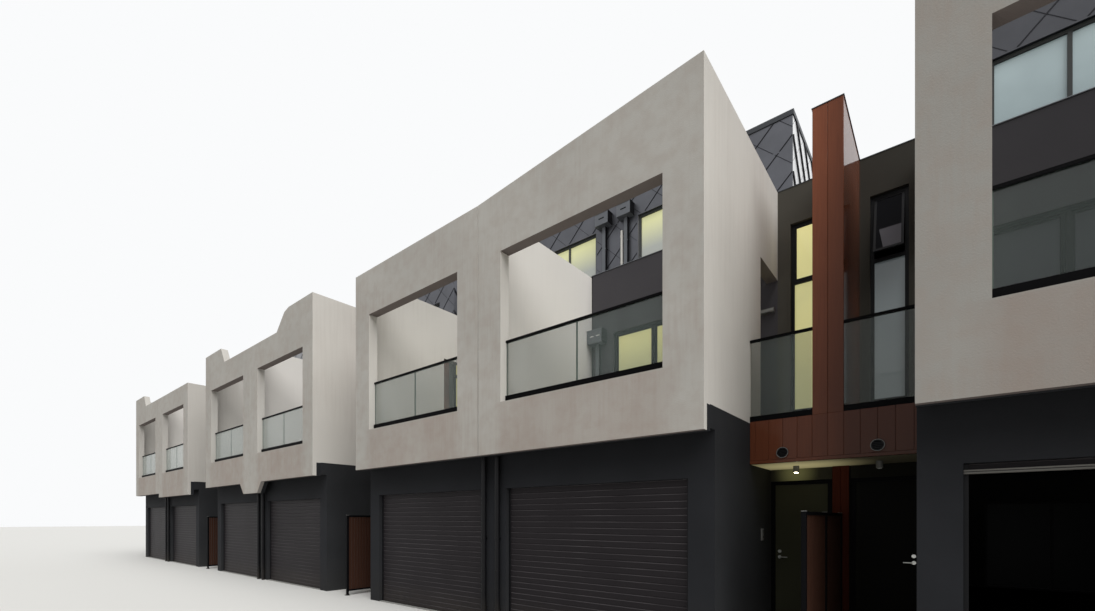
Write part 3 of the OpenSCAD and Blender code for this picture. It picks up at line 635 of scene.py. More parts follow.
@dataclass(frozen=True)
class ClearGlass(Finish):
    """Toughened glass: see-through where it is met square, with a painted pale sheen at a slant."""

    cloud_cut: Span = (0.35, 0.65)
    run_m: float = 1 / 5.0
    run_stretch: float = 0.05
    seen: float = 0.2
    slanted: float = 0.62
    slant_blend: float = 0.25
    sheen: str = "#B9C2BD"
    sheen_cut: Span = (0.3, 0.75)

    def dress(self, surface: Surface) -> None:
        """Sets faint runs, the painted sheen, and how much of what lies behind shows.

        Args:
            surface: the material in the making.
        """
        add = surface.add
        long = add("Mapping", {"Vector": surface.place, "Scale": (1, 1, self.run_stretch)})
        runs = add("TexNoise", {"Vector": long, "Scale": 1 / self.run_m, "Detail": 3.0})
        self.shade(surface, add("MapRange", (runs, *self.cloud_cut, *about(1, self.cloud))))
        square = add("LayerWeight", {"Blend": 0.5}, "Facing")
        surface.lay(add("MapRange", (square, *self.sheen_cut, 0.0, 1.0)), self.sheen)
        slant = add("LayerWeight", {"Blend": self.slant_blend}, "Facing")
        surface.feed("Alpha", add("MapRange", (slant, 0.0, 1.0, self.seen, self.slanted)))


@dataclass(frozen=True)
class Lamp(Finish):
    """An opal diffuser with a lamp lit behind it."""

    glow: float = 22.0

    def dress(self, surface: Surface) -> None:
        """Lights the diffuser.

        Args:
            surface: the material in the making.
        """
        self.tone(surface)
        surface.shader.inputs["Emission Color"].default_value = linear(self.colour)
        surface.shader.inputs["Emission Strength"].default_value = self.glow


# Grain of trowelled render, of powder coats and of brushed pipe paint
TROWELLED = {"specular": 0.15, "grain_mm": 9.0, "grain_depth_mm": 0.7}
POWDER = {"grain_mm": 2.5, "grain_depth_mm": 0.05}
BRUSHED = {"cloud": 0.08, "grain_mm": 8.0, "grain_depth_mm": 0.08}

# Sprayed acrylic render: warm off-white, matt, with a grain that catches low light
WHITE_RENDER = SprayedRender("sprayed_acrylic_render", "#AEABA5", cloud=0.05, grain_depth_mm=2.2,
                             streak=0.2, streak_mm=45.0, mottle=0.22, run_share=0.34,
                             joint_half=0.01, hem_t=0.1, last_pair_shade=0.72)
# The same render, painted a coat paler as painted light, on the faces across the row, with fainter
# streaks
PALER_CROSS_RENDER = SprayedRender("acrylic_render_painted_paler", "#CDC9C2", cloud=0.04, streak=0.1,
                                 hem_t=0.1, first_pair_shade=0.85)
# The same render painted palest, as painted light, on the fins between two terraces
BRIGHT_FIN_RENDER = SprayedRender("acrylic_render_painted_bright", "#E3DFD9", cloud=0.02, grain_depth_mm=1.0,
                           streak=0.03, last_pair_shade=0.32)
# The same render on the rear, painted dark inside as painted shade
REAR_RENDER = SprayedRender("rear_acrylic_render", "#B8B3AA", cloud=0.06, inside_shade_behind=5.93)
# Trowelled fine render in charcoal: flat and dark, so that the white screens float over it
CHARCOAL_RENDER = DustyPaint("trowelled_charcoal_render", "#242528", 0.85, cloud=0.14,
                             dust="#45423D", dust_top=0.9, shade_tone=0.62, **TROWELLED)
# The same charcoal render painted a little paler, as painted light, with the same dust, on the walls
# beside the porch
PALER_SIDE_CHARCOAL = DustyPaint("charcoal_render_painted_paler", "#2F3032", 0.85, cloud=0.12, dust="#45423D",
                         dust_top=0.9, shade_tone=0.75, **TROWELLED)
# Trowelled fine render in umber behind the link balconies
DARK_WALL = Finish("trowelled_umber_render", "#524F48", 0.88, cloud=0.12, cloud_m=1.3,
                   last_pair_shade=0.54, **TROWELLED)
# The same umber render over the entry doors, with a pool of lamplight
WASHED_WALL = LampWashed("lamplit_umber_render", "#34332C", 0.88, specular=0.15, cloud=0.12,
                         cloud_m=1.3, last_pair_shade=0.35, wash="#C4C07A", glow=0.13, near=0.02,
                         reach=0.36, lamp=(-0.62, 3.04, 2.62))
# Trowelled fine render in plum grey behind the terraces
TERRACE_WALL = Finish("trowelled_plum_grey_render", "#4B494C", 0.88, cloud_m=1.3, last_pair_shade=0.7,
                      **TROWELLED)
# Pre-weathered zinc sheet: a dull metal, painted white as a reflection of the sky where it is seen at
# a slant
ZINC = SheetMetal("pre_weathered_zinc", "#5E5F64", 0.4, metallic=0.75, cloud=0.1, cloud_m=0.5,
                  grain_mm=120.0, grain_depth_mm=1.0, last_pair_shade=0.5)
# Folded zinc edges, in their own shadow
ZINC_SEAM = Finish("folded_zinc_edge", "#242428", 0.5, metallic=0.4, specular=0.2,
                   grain_depth_mm=0.0)
# Oiled cedar-red boards, whose clear coat mirrors the sky at a slant, painted darker low down and
# brighter high up as painted shade and light
TIMBER = TimberBoards("oiled_red_cedar", "#703F2A", 0.5, coat=0.7, coat_ior=1.26, specular=0.05,
                      grain_mm=14.0, painted_light_tone=(0.74, 1.5), last_pair_shade=0.52)
# The same boards on the porch's pilasters, unoiled, painted nearly black as painted shade
PORCH_TIMBER = TimberBoards("unoiled_cedar_painted_shade", "#48231A", 0.8, specular=0.03, dark="#0C0605",
                            grain_mm=14.0)
# Stained softwood battens of the divider screens
BATTEN = TimberBoards("stained_softwood_batten", "#412A20", 0.6, specular=0.1, grain_mm=10.0,
                      grain_depth_mm=0.4)
# Black powder coat on aluminium extrusions: dark with a soft highlight
BLACK_COAT = Finish("black_powder_coat", "#111113", 0.45, specular=0.15, cloud=0.1, **POWDER)
# Baked satin paint on rolled steel slats, brown-black, with dust and a painted highlight on every
# ledge
DOOR_SLATS = SlatPaint("baked_steel_slat", "#232022", 0.5, specular=0.1, cloud=0.1, cloud_m=2.2,
                       grain_mm=30.0)
# Charcoal paint on the round steel pipes
CHARCOAL_PAINT = DustyPaint("charcoal_gloss_paint", "#111113", 0.38, specular=0.15, cloud=0.1,
                            grain_mm=8.0, grain_depth_mm=0.1)
# Folded slate-grey sheet of the cappings, a thin lighter line on the dark walls
CAPPING = Finish("folded_slate_grey_capping", "#33363A", 0.45, specular=0.4, cloud=0.06,
                 grain_mm=20.0, grain_depth_mm=0.1)
# Black powder coat on the divider's steel posts, deep in the porch's shade
POST_COAT = Finish("matt_black_powder_coat", "#08080A", 0.6, specular=0.05, cloud=0.1, **POWDER)
# Matt black coat of the balustrades' rails and channels, the darkest lines on the screens
RAIL_COAT = Finish("matt_black_rail_coat", "#070708", 0.6, specular=0.04, cloud=0.1, **POWDER)
# Zinc-grey paint on the folded rainwater heads, square pipes and wall cappings
PIPE_PAINT = Finish("zinc_grey_pipe_paint", "#686B70", 0.45, specular=0.4, **BRUSHED)
# The same paint on the faces across the row, in their own shade
PIPE_SHADE = Finish("shaded_pipe_paint", "#0E0E10", 0.6, specular=0.04, **BRUSHED)
# White plastic of the conduits, the brightest line on the zinc
WHITE_PLASTIC = Finish("moulded_white_upvc", "#E6E3DC", 0.45, specular=0.3, cloud=0.02,
                       grain_mm=2.0, grain_depth_mm=0.03)
# Dark satin door paint over a smooth board, painted near-black over the last pair as painted shade
DOOR_PAINT = Finish("satin_olive_black_paint", "#3A3A2D", 0.55, specular=0.06, grain_mm=4.0,
                    grain_depth_mm=0.05, last_pair_shade=0.05)
# Satin chrome on brass: the one bright metal in the porch
CHROME = Finish("satin_chrome_plate", "#C9C9C5", 0.28, metallic=1.0, cloud=0.03, grain_mm=1.5,
                grain_depth_mm=0.02)
# Mill-finish aluminium extrusion, duller than chrome
ALUMINIUM = Finish("mill_aluminium", "#958F84", 0.42, metallic=0.7, grain_mm=3.0,
                   grain_depth_mm=0.05)
# Dusty paint on the raised door's bottom bar, a pale line under the shut dark slats
BAR_PAINT = Finish("dusty_bar_paint", "#5E5C58", specular=0.15, grain_depth_mm=0.05)
# Grey powder coat on the frames of the upper windows, lighter than those below
GREY_COAT = Finish("grey_powder_coat", "#4A4C4B", 0.5, specular=0.2, cloud=0.06, last_pair_shade=0.7,
                   **POWDER)
# Float-finished concrete of the balcony slabs and thresholds
CONCRETE = Finish("float_finished_concrete", "#8B8A86", 0.85, specular=0.3, cloud=0.12,
                  cloud_m=0.7, grain_mm=12.0, grain_depth_mm=0.6)
# Bare blockwork and slabs that only an open garage shows, painted near-black as painted shade
UNLIT_CORE = Finish("bare_core_painted_shade", "#1F1E1C", 0.9, specular=0.05, cloud=0.15, cloud_m=0.8,
                   grain_mm=14.0, grain_depth_mm=0.8)
# Glazed porcelain paving tiles, mid grey
TILE = Finish("porcelain_tile", "#A09E98", 0.5, specular=0.35, cloud=0.1, cloud_m=0.25,
              grain_mm=5.0, grain_depth_mm=0.1)
# Flat cream paint on the porch's sheet soffit, with a pool of lamplight
SOFFIT = LampWashed("cream_ceiling_paint", "#A8A083", 0.8, specular=0.2, cloud=0.04,
                    last_pair_shade=0.5)
# Moulded grey plastic of switch plates, lamp bodies, vent rims and post caps
GREY_PLASTIC = Finish("moulded_grey_abs", "#6E6E6B", 0.5, specular=0.25, cloud=0.04, grain_mm=2.0,
                      grain_depth_mm=0.05)
# Roll-formed roof sheet with a zinc-aluminium coat, dulled by weather
ROOF_SHEET = Finish("weathered_roof_sheet", "#74767A", 0.5, metallic=0.5, cloud=0.14,
                    grain_mm=20.0)
# Black rubber, the dullest dark, on seals and keys, and as painted shade inside slots
RUBBER = Finish("extruded_rubber", "#121213", 0.8, specular=0.2, grain_mm=3.0,
                grain_depth_mm=0.1)
# Toughened glass of the balustrades: a grey-green body colour and a painted bright sheen at a slant
RAIL_GLASS = ClearGlass("toughened_green_glass", "#5E6A65", 0.03, cloud=0.16, last_pair_shade=0.7,
                        first_pair_shade=0.8)
# Polished edges of the same glass, a dark green line where two sheets meet
GLASS_EDGE = Finish("polished_glass_edge", "#56635C", 0.3, specular=0.2, cloud=0.05,
                    grain_depth_mm=0.0)
# Lit blinds behind the doors of the pair beside the porch
LIT_GLASS = RoomGlass("float_glass_lit_blind", "#DEDA98", cloud=0.05, low="#868C76", glow=0.6,
                      veil=0.15, fade=(0.5, 0.86))
# The windows over them, whose blinds hang in daylight from the waist down
LIT_UPPER_GLASS = RoomGlass("float_glass_lit_window", "#D2D2A0", cloud=0.04, low="#8F9397",
                            glow=0.5, fade=(0.66, 0.87))
# The same lit blind, as tall as the link's stair window
LIT_STAIR_GLASS = RoomGlass("float_glass_lit_stair", "#DDD590", cloud=0.05, low="#A5A67E",
                            glow=0.72, foot=3.7, rise=3.3, veil=0.3)
# Daylit blinds behind the windows of the last pair
PALE_GLASS = RoomGlass("float_glass_pale_blind", "#C0D2D4", low="#55636A", glow=0.14, veil=0.2)
# Grey rooms behind the last pair's terrace doors
GREY_GLASS = RoomGlass("float_glass_grey_room", "#4B4C50", cloud=0.1, specular=0.2,
                       low="#54555A")
# Grey blind in the last pair's stair window, with a faint painted glow
GREY_STAIR_GLASS = RoomGlass("float_glass_grey_stair", "#6C757B", low="#98A3A2", glow=0.1,
                             foot=3.7, rise=3.3)
# Dim rooms behind the other windows
DIM_GLASS = RoomGlass("float_glass_dim_room", "#454C51", 0.05, cloud=0.12, low="#2E3337")
# Unlit stair wells behind shut sashes
BLACK_GLASS = RoomGlass("float_glass_unlit_room", "#222227", cloud=0.1, specular=0.2,
                        low="#2E2E33")
# The same unlit glass in the opened sash, with the edge of a blind drawn down to its foot
BLIND_GLASS = RoomGlass("float_glass_half_blind", "#101014", 0.1, cloud=0.06, specular=0.04,
                        low="#747379", foot=6.0, rise=0.9, fade=(0.37, 0.39), edge_x=10.3)
# Obscured glass of the rear garage doors, painted dark as painted shade of the unlit garage
OBSCURED_GLASS = RoomGlass("obscured_glass", "#1E2122", 0.4, cloud=0.1, specular=0.15,
                           low="#151718", foot=0.0, rise=2.4)
# Opal diffuser of the downlight that is lit
LIT_LENS = Lamp("opal_acrylic_lit", "#FFF3CF", 0.4)
# Opal diffusers of the lamps that are off
OPAL_LENS = Finish("opal_acrylic", "#B9BBB6", 0.35, cloud=0.03, grain_depth_mm=0.0)
# The wall lights' smoked diffusers, greyer than the lamps
SMOKED_LENS = Finish("smoked_acrylic", "#8A8A86", 0.4, cloud=0.03, grain_depth_mm=0.0)

# Plain matt studio floor, pale and without a pattern
STUDIO_FLOOR = Finish("pale_studio_floor", "#D8D7D3", 0.9, cloud=0.0, grain_depth_mm=0.0)

# Finish of each node that shows
NODE_FINISHES: dict[str, Finish] = {node: finish for finish, nodes in (
    (UNLIT_CORE, "ground_slabs party_walls upper_party_walls inner_floors"),
    (CHARCOAL_RENDER, "garage_piers garage_lintels end_walls terrace_slabs"),
    (DOOR_SLATS, "garage_doors raised_garage_door"),
    (PALER_SIDE_CHARCOAL, "box_side_walls"),
    (WASHED_WALL, "entry_lintels"),
    (POST_COAT, "door_frames divider_frames"),
    (DOOR_PAINT, "entry_doors entry_door_left entry_door_right"),
    (CHROME, "entry_handles entry_handle_left entry_handle_right"),
    (SOFFIT, "porch_soffits"),
    (BATTEN, "divider_battens"),
    (CHARCOAL_PAINT, "front_downpipes"),
    (GREY_PLASTIC, "downlights wall_fittings"),
    (CONCRETE, "balcony_slabs"),
    (TIMBER, "timber_fascias timber_blades"),
    (WHITE_RENDER, "front_screens"),
    (PALER_CROSS_RENDER, "side_screens"),
    (BRIGHT_FIN_RENDER, "terrace_fins"),
    (RAIL_COAT, "balustrade_rails"),
    (RAIL_GLASS, "balustrade_glass"),
    (TERRACE_WALL, "terrace_walls"),
    (DARK_WALL, "link_walls"),
    (BLACK_COAT, "vents glazed_door_frames link_window_frames vent_sashes rear_frames"),
    (DIM_GLASS, "window_glass"),
    (PIPE_PAINT, "square_downpipes"),
    (ZINC, "upper_front_walls upper_side_walls"),
    (ROOF_SHEET, "roofs"),
    (CAPPING, "cappings"),
    (REAR_RENDER, "rear_walls upper_rear_walls"),
) for node in nodes.split()}
# Finish of a node's upright faces, where it differs from that of the flat ones
UPRIGHT_FINISHES: dict[str, Finish] = {"roofs": ZINC, "balcony_slabs": CHARCOAL_RENDER}
# Finish of a node's faces across the row, where it differs from that of the street faces: a paler
# copy, as painted light
CROSS_FINISHES: dict[str, Finish] = {
    "front_screens": PALER_CROSS_RENDER, "garage_piers": PALER_SIDE_CHARCOAL,
    "garage_lintels": PALER_SIDE_CHARCOAL, "terrace_slabs": PALER_SIDE_CHARCOAL,
}
# Height from which a node has another finish
HIGH_FINISHES: dict[str, tuple[float, Finish]] = {"glazed_door_frames": (6.35, GREY_COAT)}
# Least reach of a normal along x for a face across the row, and most along z for an upright one
CROSS_LEAST, UPRIGHT_MOST = 0.7, 0.5


# Shapes
class Axis(Enum):
    """Direction of a rod: the turn in degrees that brings +Z to it, and that turn's own axis."""

    X = (90, "Y")
    Y = (-90, "X")
    Z = (0, "Z")


class Shape:
    """A mesh in the making, in the own frame of a house, a link or the row."""

    tint_step: float = 0.37

    def __init__(self, seed: int) -> None:
        """Starts an empty mesh, whose solids get tints of their own.

        Args:
            seed: start of the tints' draws.
        """
        self.bm = bmesh.new()
        self.tint = self.bm.faces.layers.float.new("tint")
        self.draw = random.Random(seed)

    def _tinted(self, verts: Iterable[bmesh.types.BMVert]) -> Verts:
        """Gives the faces round some vertices one tint of their own.

        Args:
            verts: the vertices.

        Returns:
            The same vertices.
        """
        found = list(verts)
        tint = self.draw.random()
        for face in {face for vert in found for face in vert.link_faces}:
            face[self.tint] = tint
        return found

    def box(self, x: Span, y: Span, z: Span, ease: float = 0.0) -> Verts:
        """Adds a box, with its edges eased where a width is given.

        Args:
            x: its two ends in x.
            y: its two ends in y.
            z: its two ends in z.
            ease: width of the eased edges.

        Returns:
            Its vertices.
        """
        spans = (x, y, z)
        verts = bmesh.ops.create_cube(self.bm, size=1.0)["verts"]
        bmesh.ops.scale(self.bm, vec=[high - low for low, high in spans], verts=verts)
        bmesh.ops.translate(self.bm, vec=[(low + high) / 2 for low, high in spans], verts=verts)
        if ease:
            edges = {edge for vert in verts for edge in vert.link_edges}
            verts = bmesh.ops.bevel(
                self.bm, geom=list(edges), offset=ease, offset_type="OFFSET", segments=1,
                profile=0.5, affect="EDGES", clamp_overlap=True, material=-1)["verts"]
        return self._tinted(verts)

    def rod(self, start: Point, axis: Axis, radius: float, length: float, sides: int = 24,
            top: float | None = None) -> None:
        """Adds a round rod or cone that starts at a point and runs along an axis.

        Args:
            start: middle of its first end.
            axis: its direction.
            radius: its radius at the first end.
            length: its length, which may be negative.
            sides: number of its sides.
            top: its radius at the far end, where it differs.
        """
        turn, around = axis.value
        place = (Matrix.Translation(start) @ Matrix.Rotation(math.radians(turn), 4, around)
                 @ Matrix.Translation((0, 0, length / 2)))
        self._tinted(bmesh.ops.create_cone(
            self.bm, cap_ends=True, segments=sides, radius1=radius,
            radius2=radius if top is None else top, depth=length, matrix=place)["verts"])

    def ring(self, centre: Point, radius: float, width: float, depth: float,
             sides: int = 28) -> None:
        """Adds a flat ring that faces the street, spun from its section.

        Args:
            centre: middle of its back.
            radius: its outer radius.
            width: breadth of its rim.
            depth: its reach towards the street.
            sides: number of steps round.
        """
        known = set(self.bm.verts)
        section = ((radius - width, 0), (radius, 0), (radius, -depth), (radius - width, -depth))
        verts = [self.bm.verts.new((centre[0] + x, centre[1] + y, centre[2])) for x, y in section]
        edges = [self.bm.edges.new(ends) for ends in zip(verts, verts[1:] + verts[:1])]
        bmesh.ops.spin(self.bm, geom=verts + edges, cent=centre, axis=(0, 1, 0),
                       angle=2 * math.pi, steps=sides, use_merge=True)
        self._tinted(vert for vert in self.bm.verts if vert not in known)

    def trim(self, verts: Verts, x: Span, z: Span) -> None:
        """Cuts what lies outside two spans and closes the cuts.

        Args:
            verts: vertices of the solids to cut.
            x: span to keep in x.
            z: span to keep in z.
        """
        kept = set(verts)
        for axis, end, outwards in ((0, x[0], -1), (0, x[1], 1), (2, z[0], -1), (2, z[1], 1)):
            kept = {vert for vert in kept if vert.is_valid}
            edges = {edge for vert in kept for edge in vert.link_edges}
            faces = {face for vert in kept for face in vert.link_faces}
            point, normal = Vector(), Vector()
            point[axis], normal[axis] = end, outwards
            cut = bmesh.ops.bisect_plane(self.bm, geom=[*kept, *edges, *faces], plane_co=point,
                                         plane_no=normal, clear_outer=True)["geom_cut"]
            rim = [item for item in cut if isinstance(item, bmesh.types.BMEdge)]
            if rim:
                bmesh.ops.holes_fill(self.bm, edges=rim, sides=0)
            kept |= {item for item in cut if isinstance(item, bmesh.types.BMVert)}
        self._tinted(vert for vert in kept if vert.is_valid)

    def repeat(self, places: Iterable[Matrix]) -> "Shape":
        """Copies the whole mesh to each place, in place of the original.

        Args:
            places: the transforms of the copies.

        Returns:
            The shape itself.
        """
        first = [*self.bm.verts, *self.bm.edges, *self.bm.faces]
        for place in places:
            copy = bmesh.ops.duplicate(self.bm, geom=first)["geom"]
            verts = [item for item in copy if isinstance(item, bmesh.types.BMVert)]
            bmesh.ops.transform(self.bm, matrix=place, verts=verts)
            for face in (item for item in copy if isinstance(item, bmesh.types.BMFace)):
                face[self.tint] = (face[self.tint] + self.tint_step * place.translation.x) % 1.0
        originals = [item for item in first if isinstance(item, bmesh.types.BMVert)]
        bmesh.ops.delete(self.bm, geom=originals, context="VERTS")
        return self

    def join(self, other: "Shape") -> None:
        """Adds another shape's mesh, and ends that shape.

        Args:
            other: the shape to take in.
        """
        mesh = bpy.data.meshes.new("joined")
        other.bm.to_mesh(mesh)
        other.bm.free()
        self.bm.from_mesh(mesh)
        bpy.data.meshes.remove(mesh)

    def piece(self, name: str, finish: Finish, slot: str, body: str = "row",
              stands_for: str | None = None, cross: Finish | None = None) -> None:
        """Ends the mesh as a finished piece.

        Args:
            name: the piece's name.
            finish: its finish.
            slot: the record's material slot for it; not used.
            body: CAD body that it rides on.
            stands_for: CAD node that it replaces.
            cross: finish of its faces across the row, where that differs.
        """
        bmesh.ops.recalc_face_normals(self.bm, faces=self.bm.faces)
        mesh = bpy.data.meshes.new(name)
        self.bm.to_mesh(mesh)
        self.bm.free()
        mesh.materials.append(finish.material())
        if cross:
            mesh.materials.append(cross.material())
            for polygon in mesh.polygons:
                polygon.material_index = int(abs(polygon.normal.x) > CROSS_LEAST)
        made = bpy.data.objects.new(name, mesh)
        bpy.context.scene.collection.objects.link(made)
        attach(made, body)
        if stands_for:
            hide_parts(stands_for)
        LOG.info("%s: %d faces", name, len(mesh.polygons))


def boxed(seed: int, name: str, finish: Finish, slot: str, places: Iterable[Matrix],
          *boxes: Box, **how: Any) -> None:
    """Builds a piece of boxes that is the same at each place.

    Args:
        seed: start of the tints' draws.
        name: the piece's name.
        finish: its finish.
        slot: the record's material slot for it.
        places: the transforms of its copies.
        boxes: each box's spans in x, y and z and the width of its eased edges.
        how: what else Shape.piece takes.
    """
    shape = Shape(seed)
    for box in boxes:
        shape.box(*box)
    shape.repeat(places).piece(name, finish, slot, **how)


# Sub-assemblies
@dataclass
class TimberCladding:
    """Boards on the links' fascias, blades and pilasters, which share one pitch."""

    board_w: float = 0.185
    board_t: float = 0.02
    least_board: float = 0.012
    joint: float = 0.004
    ease: float = 0.003
    trim_h: float = 0.045
    blade_half: float = 0.185
    blade_lap: float = 0.008
    pilaster_half: float = 0.11
    pilaster_t: float = 0.06
    pilaster_lap: float = 0.006

    def _row(self, shape: Shape, ends: Span, y: Span, z: Span) -> None:
        """Fills a span in x with upright boards set out from the link's middle.

        Args:
            shape: the mesh to add to.
            ends: the span in x.
            y: the boards' two faces.
            z: the boards' two ends.
        """
        for i in range(math.floor(ends[0] / self.board_w), math.ceil(ends[1] / self.board_w)):
            board = within((max(ends[0], i * self.board_w), min(ends[1], (i + 1) * self.board_w)),
                           self.joint / 2)
            if board[1] - board[0] > self.least_board:
                shape.box(board, y, z, self.ease)

    def _fascia(self, seed: int, ends: Span, places: Iterable[Matrix]) -> Shape:
        """Builds a fascia with its backing and bottom trim.

        Args:
            seed: start of the tints' draws.
            ends: the fascia's two ends in x.
            places: the transforms of its copies.

        Returns:
            The copies' shape.
        """
        shape = Shape(seed)
        front, foot = ROW.fascia_y, ROW.porch_z
        trim_top = foot + self.trim_h
        self._row(shape, ends, (front, front + self.board_t), (trim_top + self.joint, ROW.balcony_z))
        shape.box(ends, (front + self.joint * 2, ROW.fascia_back_y), (foot, ROW.balcony_z))
        shape.box(ends, (front - self.joint, front + self.board_t), (foot, trim_top), self.ease)
        return shape.repeat(places)

    def build(self) -> None:
        """Builds the boards of all links."""
        inner, outer = ROW.half_party, ROW.half_link
        fascias = self._fascia(11, (-outer, outer), INNER_LINKS)
        fascias.join(self._fascia(12, (inner, outer), [ROW.link(0)]))
        fascias.join(self._fascia(16, (-outer, -inner), [ROW.link(ROW.pairs)]))
        fascias.piece("fascia_boards", TIMBER, "timber_cladding", stands_for="timber_fascias")

        blade, half = Shape(21), self.blade_half
        front, z = ROW.fascia_y, (ROW.balcony_z, ROW.link_top)
        side = (front + self.board_t, ROW.back_y)
        self._row(blade, (-half, half), (front, side[0]), z)
        inside = half - self.board_t
        blade.box(about(0, inside + self.blade_lap), (side[0] - self.blade_lap, side[1]), z)
        count = round((side[1] - side[0]) / self.board_w)
        pitch = (side[1] - side[0]) / count
        for i in range(count):
            ends = within((side[0] + i * pitch, side[0] + (i + 1) * pitch), self.joint / 2)
            for x in ((-half, -inside), (inside, half)):
                blade.box(x, ends, z, self.ease)
        blade.repeat(INNER_LINKS).piece("blade_boards", TIMBER, "timber_cladding",
                                        stands_for="timber_blades")

        pilaster, half = Shape(22), self.pilaster_half
        front, z = ROW.entry_y - self.pilaster_t, (0.0, ROW.porch_z)
        self._row(pilaster, (-half, half), (front, front + self.board_t), z)
        pilaster.box(about(0, half - self.pilaster_lap),
                     (front + 2 * self.pilaster_lap, ROW.entry_y), z)
        pilaster.repeat(INNER_LINKS).piece("pilaster_boards", PORCH_TIMBER, "timber_cladding",
                                           stands_for="timber_blades")


@dataclass
class ZincCladding:
    """Folded seams of the diamond sheets on the upper storeys.

    A seam's size is its width and thickness. Rising seams start at one place and falling ones
    at another, so that the diamonds meet as they do over the terrace doors.
    """

    pitch: float = 0.72
    rising: Span = (0.018, 0.009)
    falling: Span = (0.009, 0.004)
    side_rising: Span = (0.006, 0.002)
    side_falling: Span = (0.055, 0.024)
    up_start: float = -6.22
    down_start: float = 12.66
    sunk: float = 0.001
    side_gap: float = 0.006
    frame_gap: float = 0.03
    opening: Point = (0.58, 3.15, 9.11)

    def _seams(self, shape: Shape, x: Span, z: Span, rising: Span, falling: Span) -> None:
        """Adds the seams of both directions to a rectangle of wall that faces the street.

        Args:
            shape: the mesh to add to.
            x: the rectangle's two ends in x.
            z: its two ends in z.
            rising: size of the seams that rise to the right.
            falling: size of those that fall to the right.
        """
        middle, reach = (x[0] + x[1]) / 2, x[1] - x[0] + z[1] - z[0]
        # At 45 degrees a step in x is the same step in z
        for sign, (wide, thick), start in ((-1, rising, self.up_start),
                                           (1, falling, self.down_start)):
            turn = Matrix.Rotation(math.radians(45 * sign), 4, "Y")
            low = x[0] + min(sign * z[0], sign * z[1])
            high = x[1] + max(sign * z[0], sign * z[1])
            verts: Verts = []
            for i in range(math.ceil((low - start) / self.pitch),
                           math.floor((high - start) / self.pitch) + 1):
                strip = shape.box((-reach, reach), (-thick, self.sunk), about(0, wide / 2))
                level = sign * (start + i * self.pitch - middle)
                place = Matrix.Translation((middle, 0, level)) @ turn
                bmesh.ops.transform(shape.bm, matrix=place, verts=strip)
                verts += strip
            if verts:
                shape.trim(verts, x, z)

    def build(self) -> None:
        """Builds the seams of the fronts and of the side walls."""
        inner, outer, head = self.opening
        fronts, gap = Shape(31), self.frame_gap
        edge = ROW.upper_side_x - self.side_gap
        beside, over = (ROW.floor_2, head), (head + gap, ROW.roof_top)
        for sign in (1, -1):
            for ends, z in (((0.0, inner - gap), beside), ((outer + gap, edge), beside),
                            ((0.0, edge), over)):
                x = tuple(sorted(sign * end for end in ends))
                self._seams(fronts, x, z, self.rising, self.falling)
        bmesh.ops.translate(fronts.bm, vec=(0, ROW.upper_y, 0), verts=fronts.bm.verts)
        fronts.repeat(RIGHT_HOUSES).piece("front_sheet_seams", ZINC_SEAM, "zinc_cladding")

        sides = Shape(32)
        self._seams(sides, (ROW.upper_y, ROW.house_depth - ROW.wall_t),
                    (ROW.parapet, ROW.roof_top), self.side_rising, self.side_falling)
        place = Matrix.Translation((ROW.upper_side_x, 0, 0)) @ Matrix.Rotation(math.pi / 2, 4, "Z")
        bmesh.ops.transform(sides.bm, matrix=place, verts=sides.bm.verts)
        sides.repeat(ALL_HOUSES).piece("side_sheet_seams", ZINC_SEAM, "zinc_cladding")


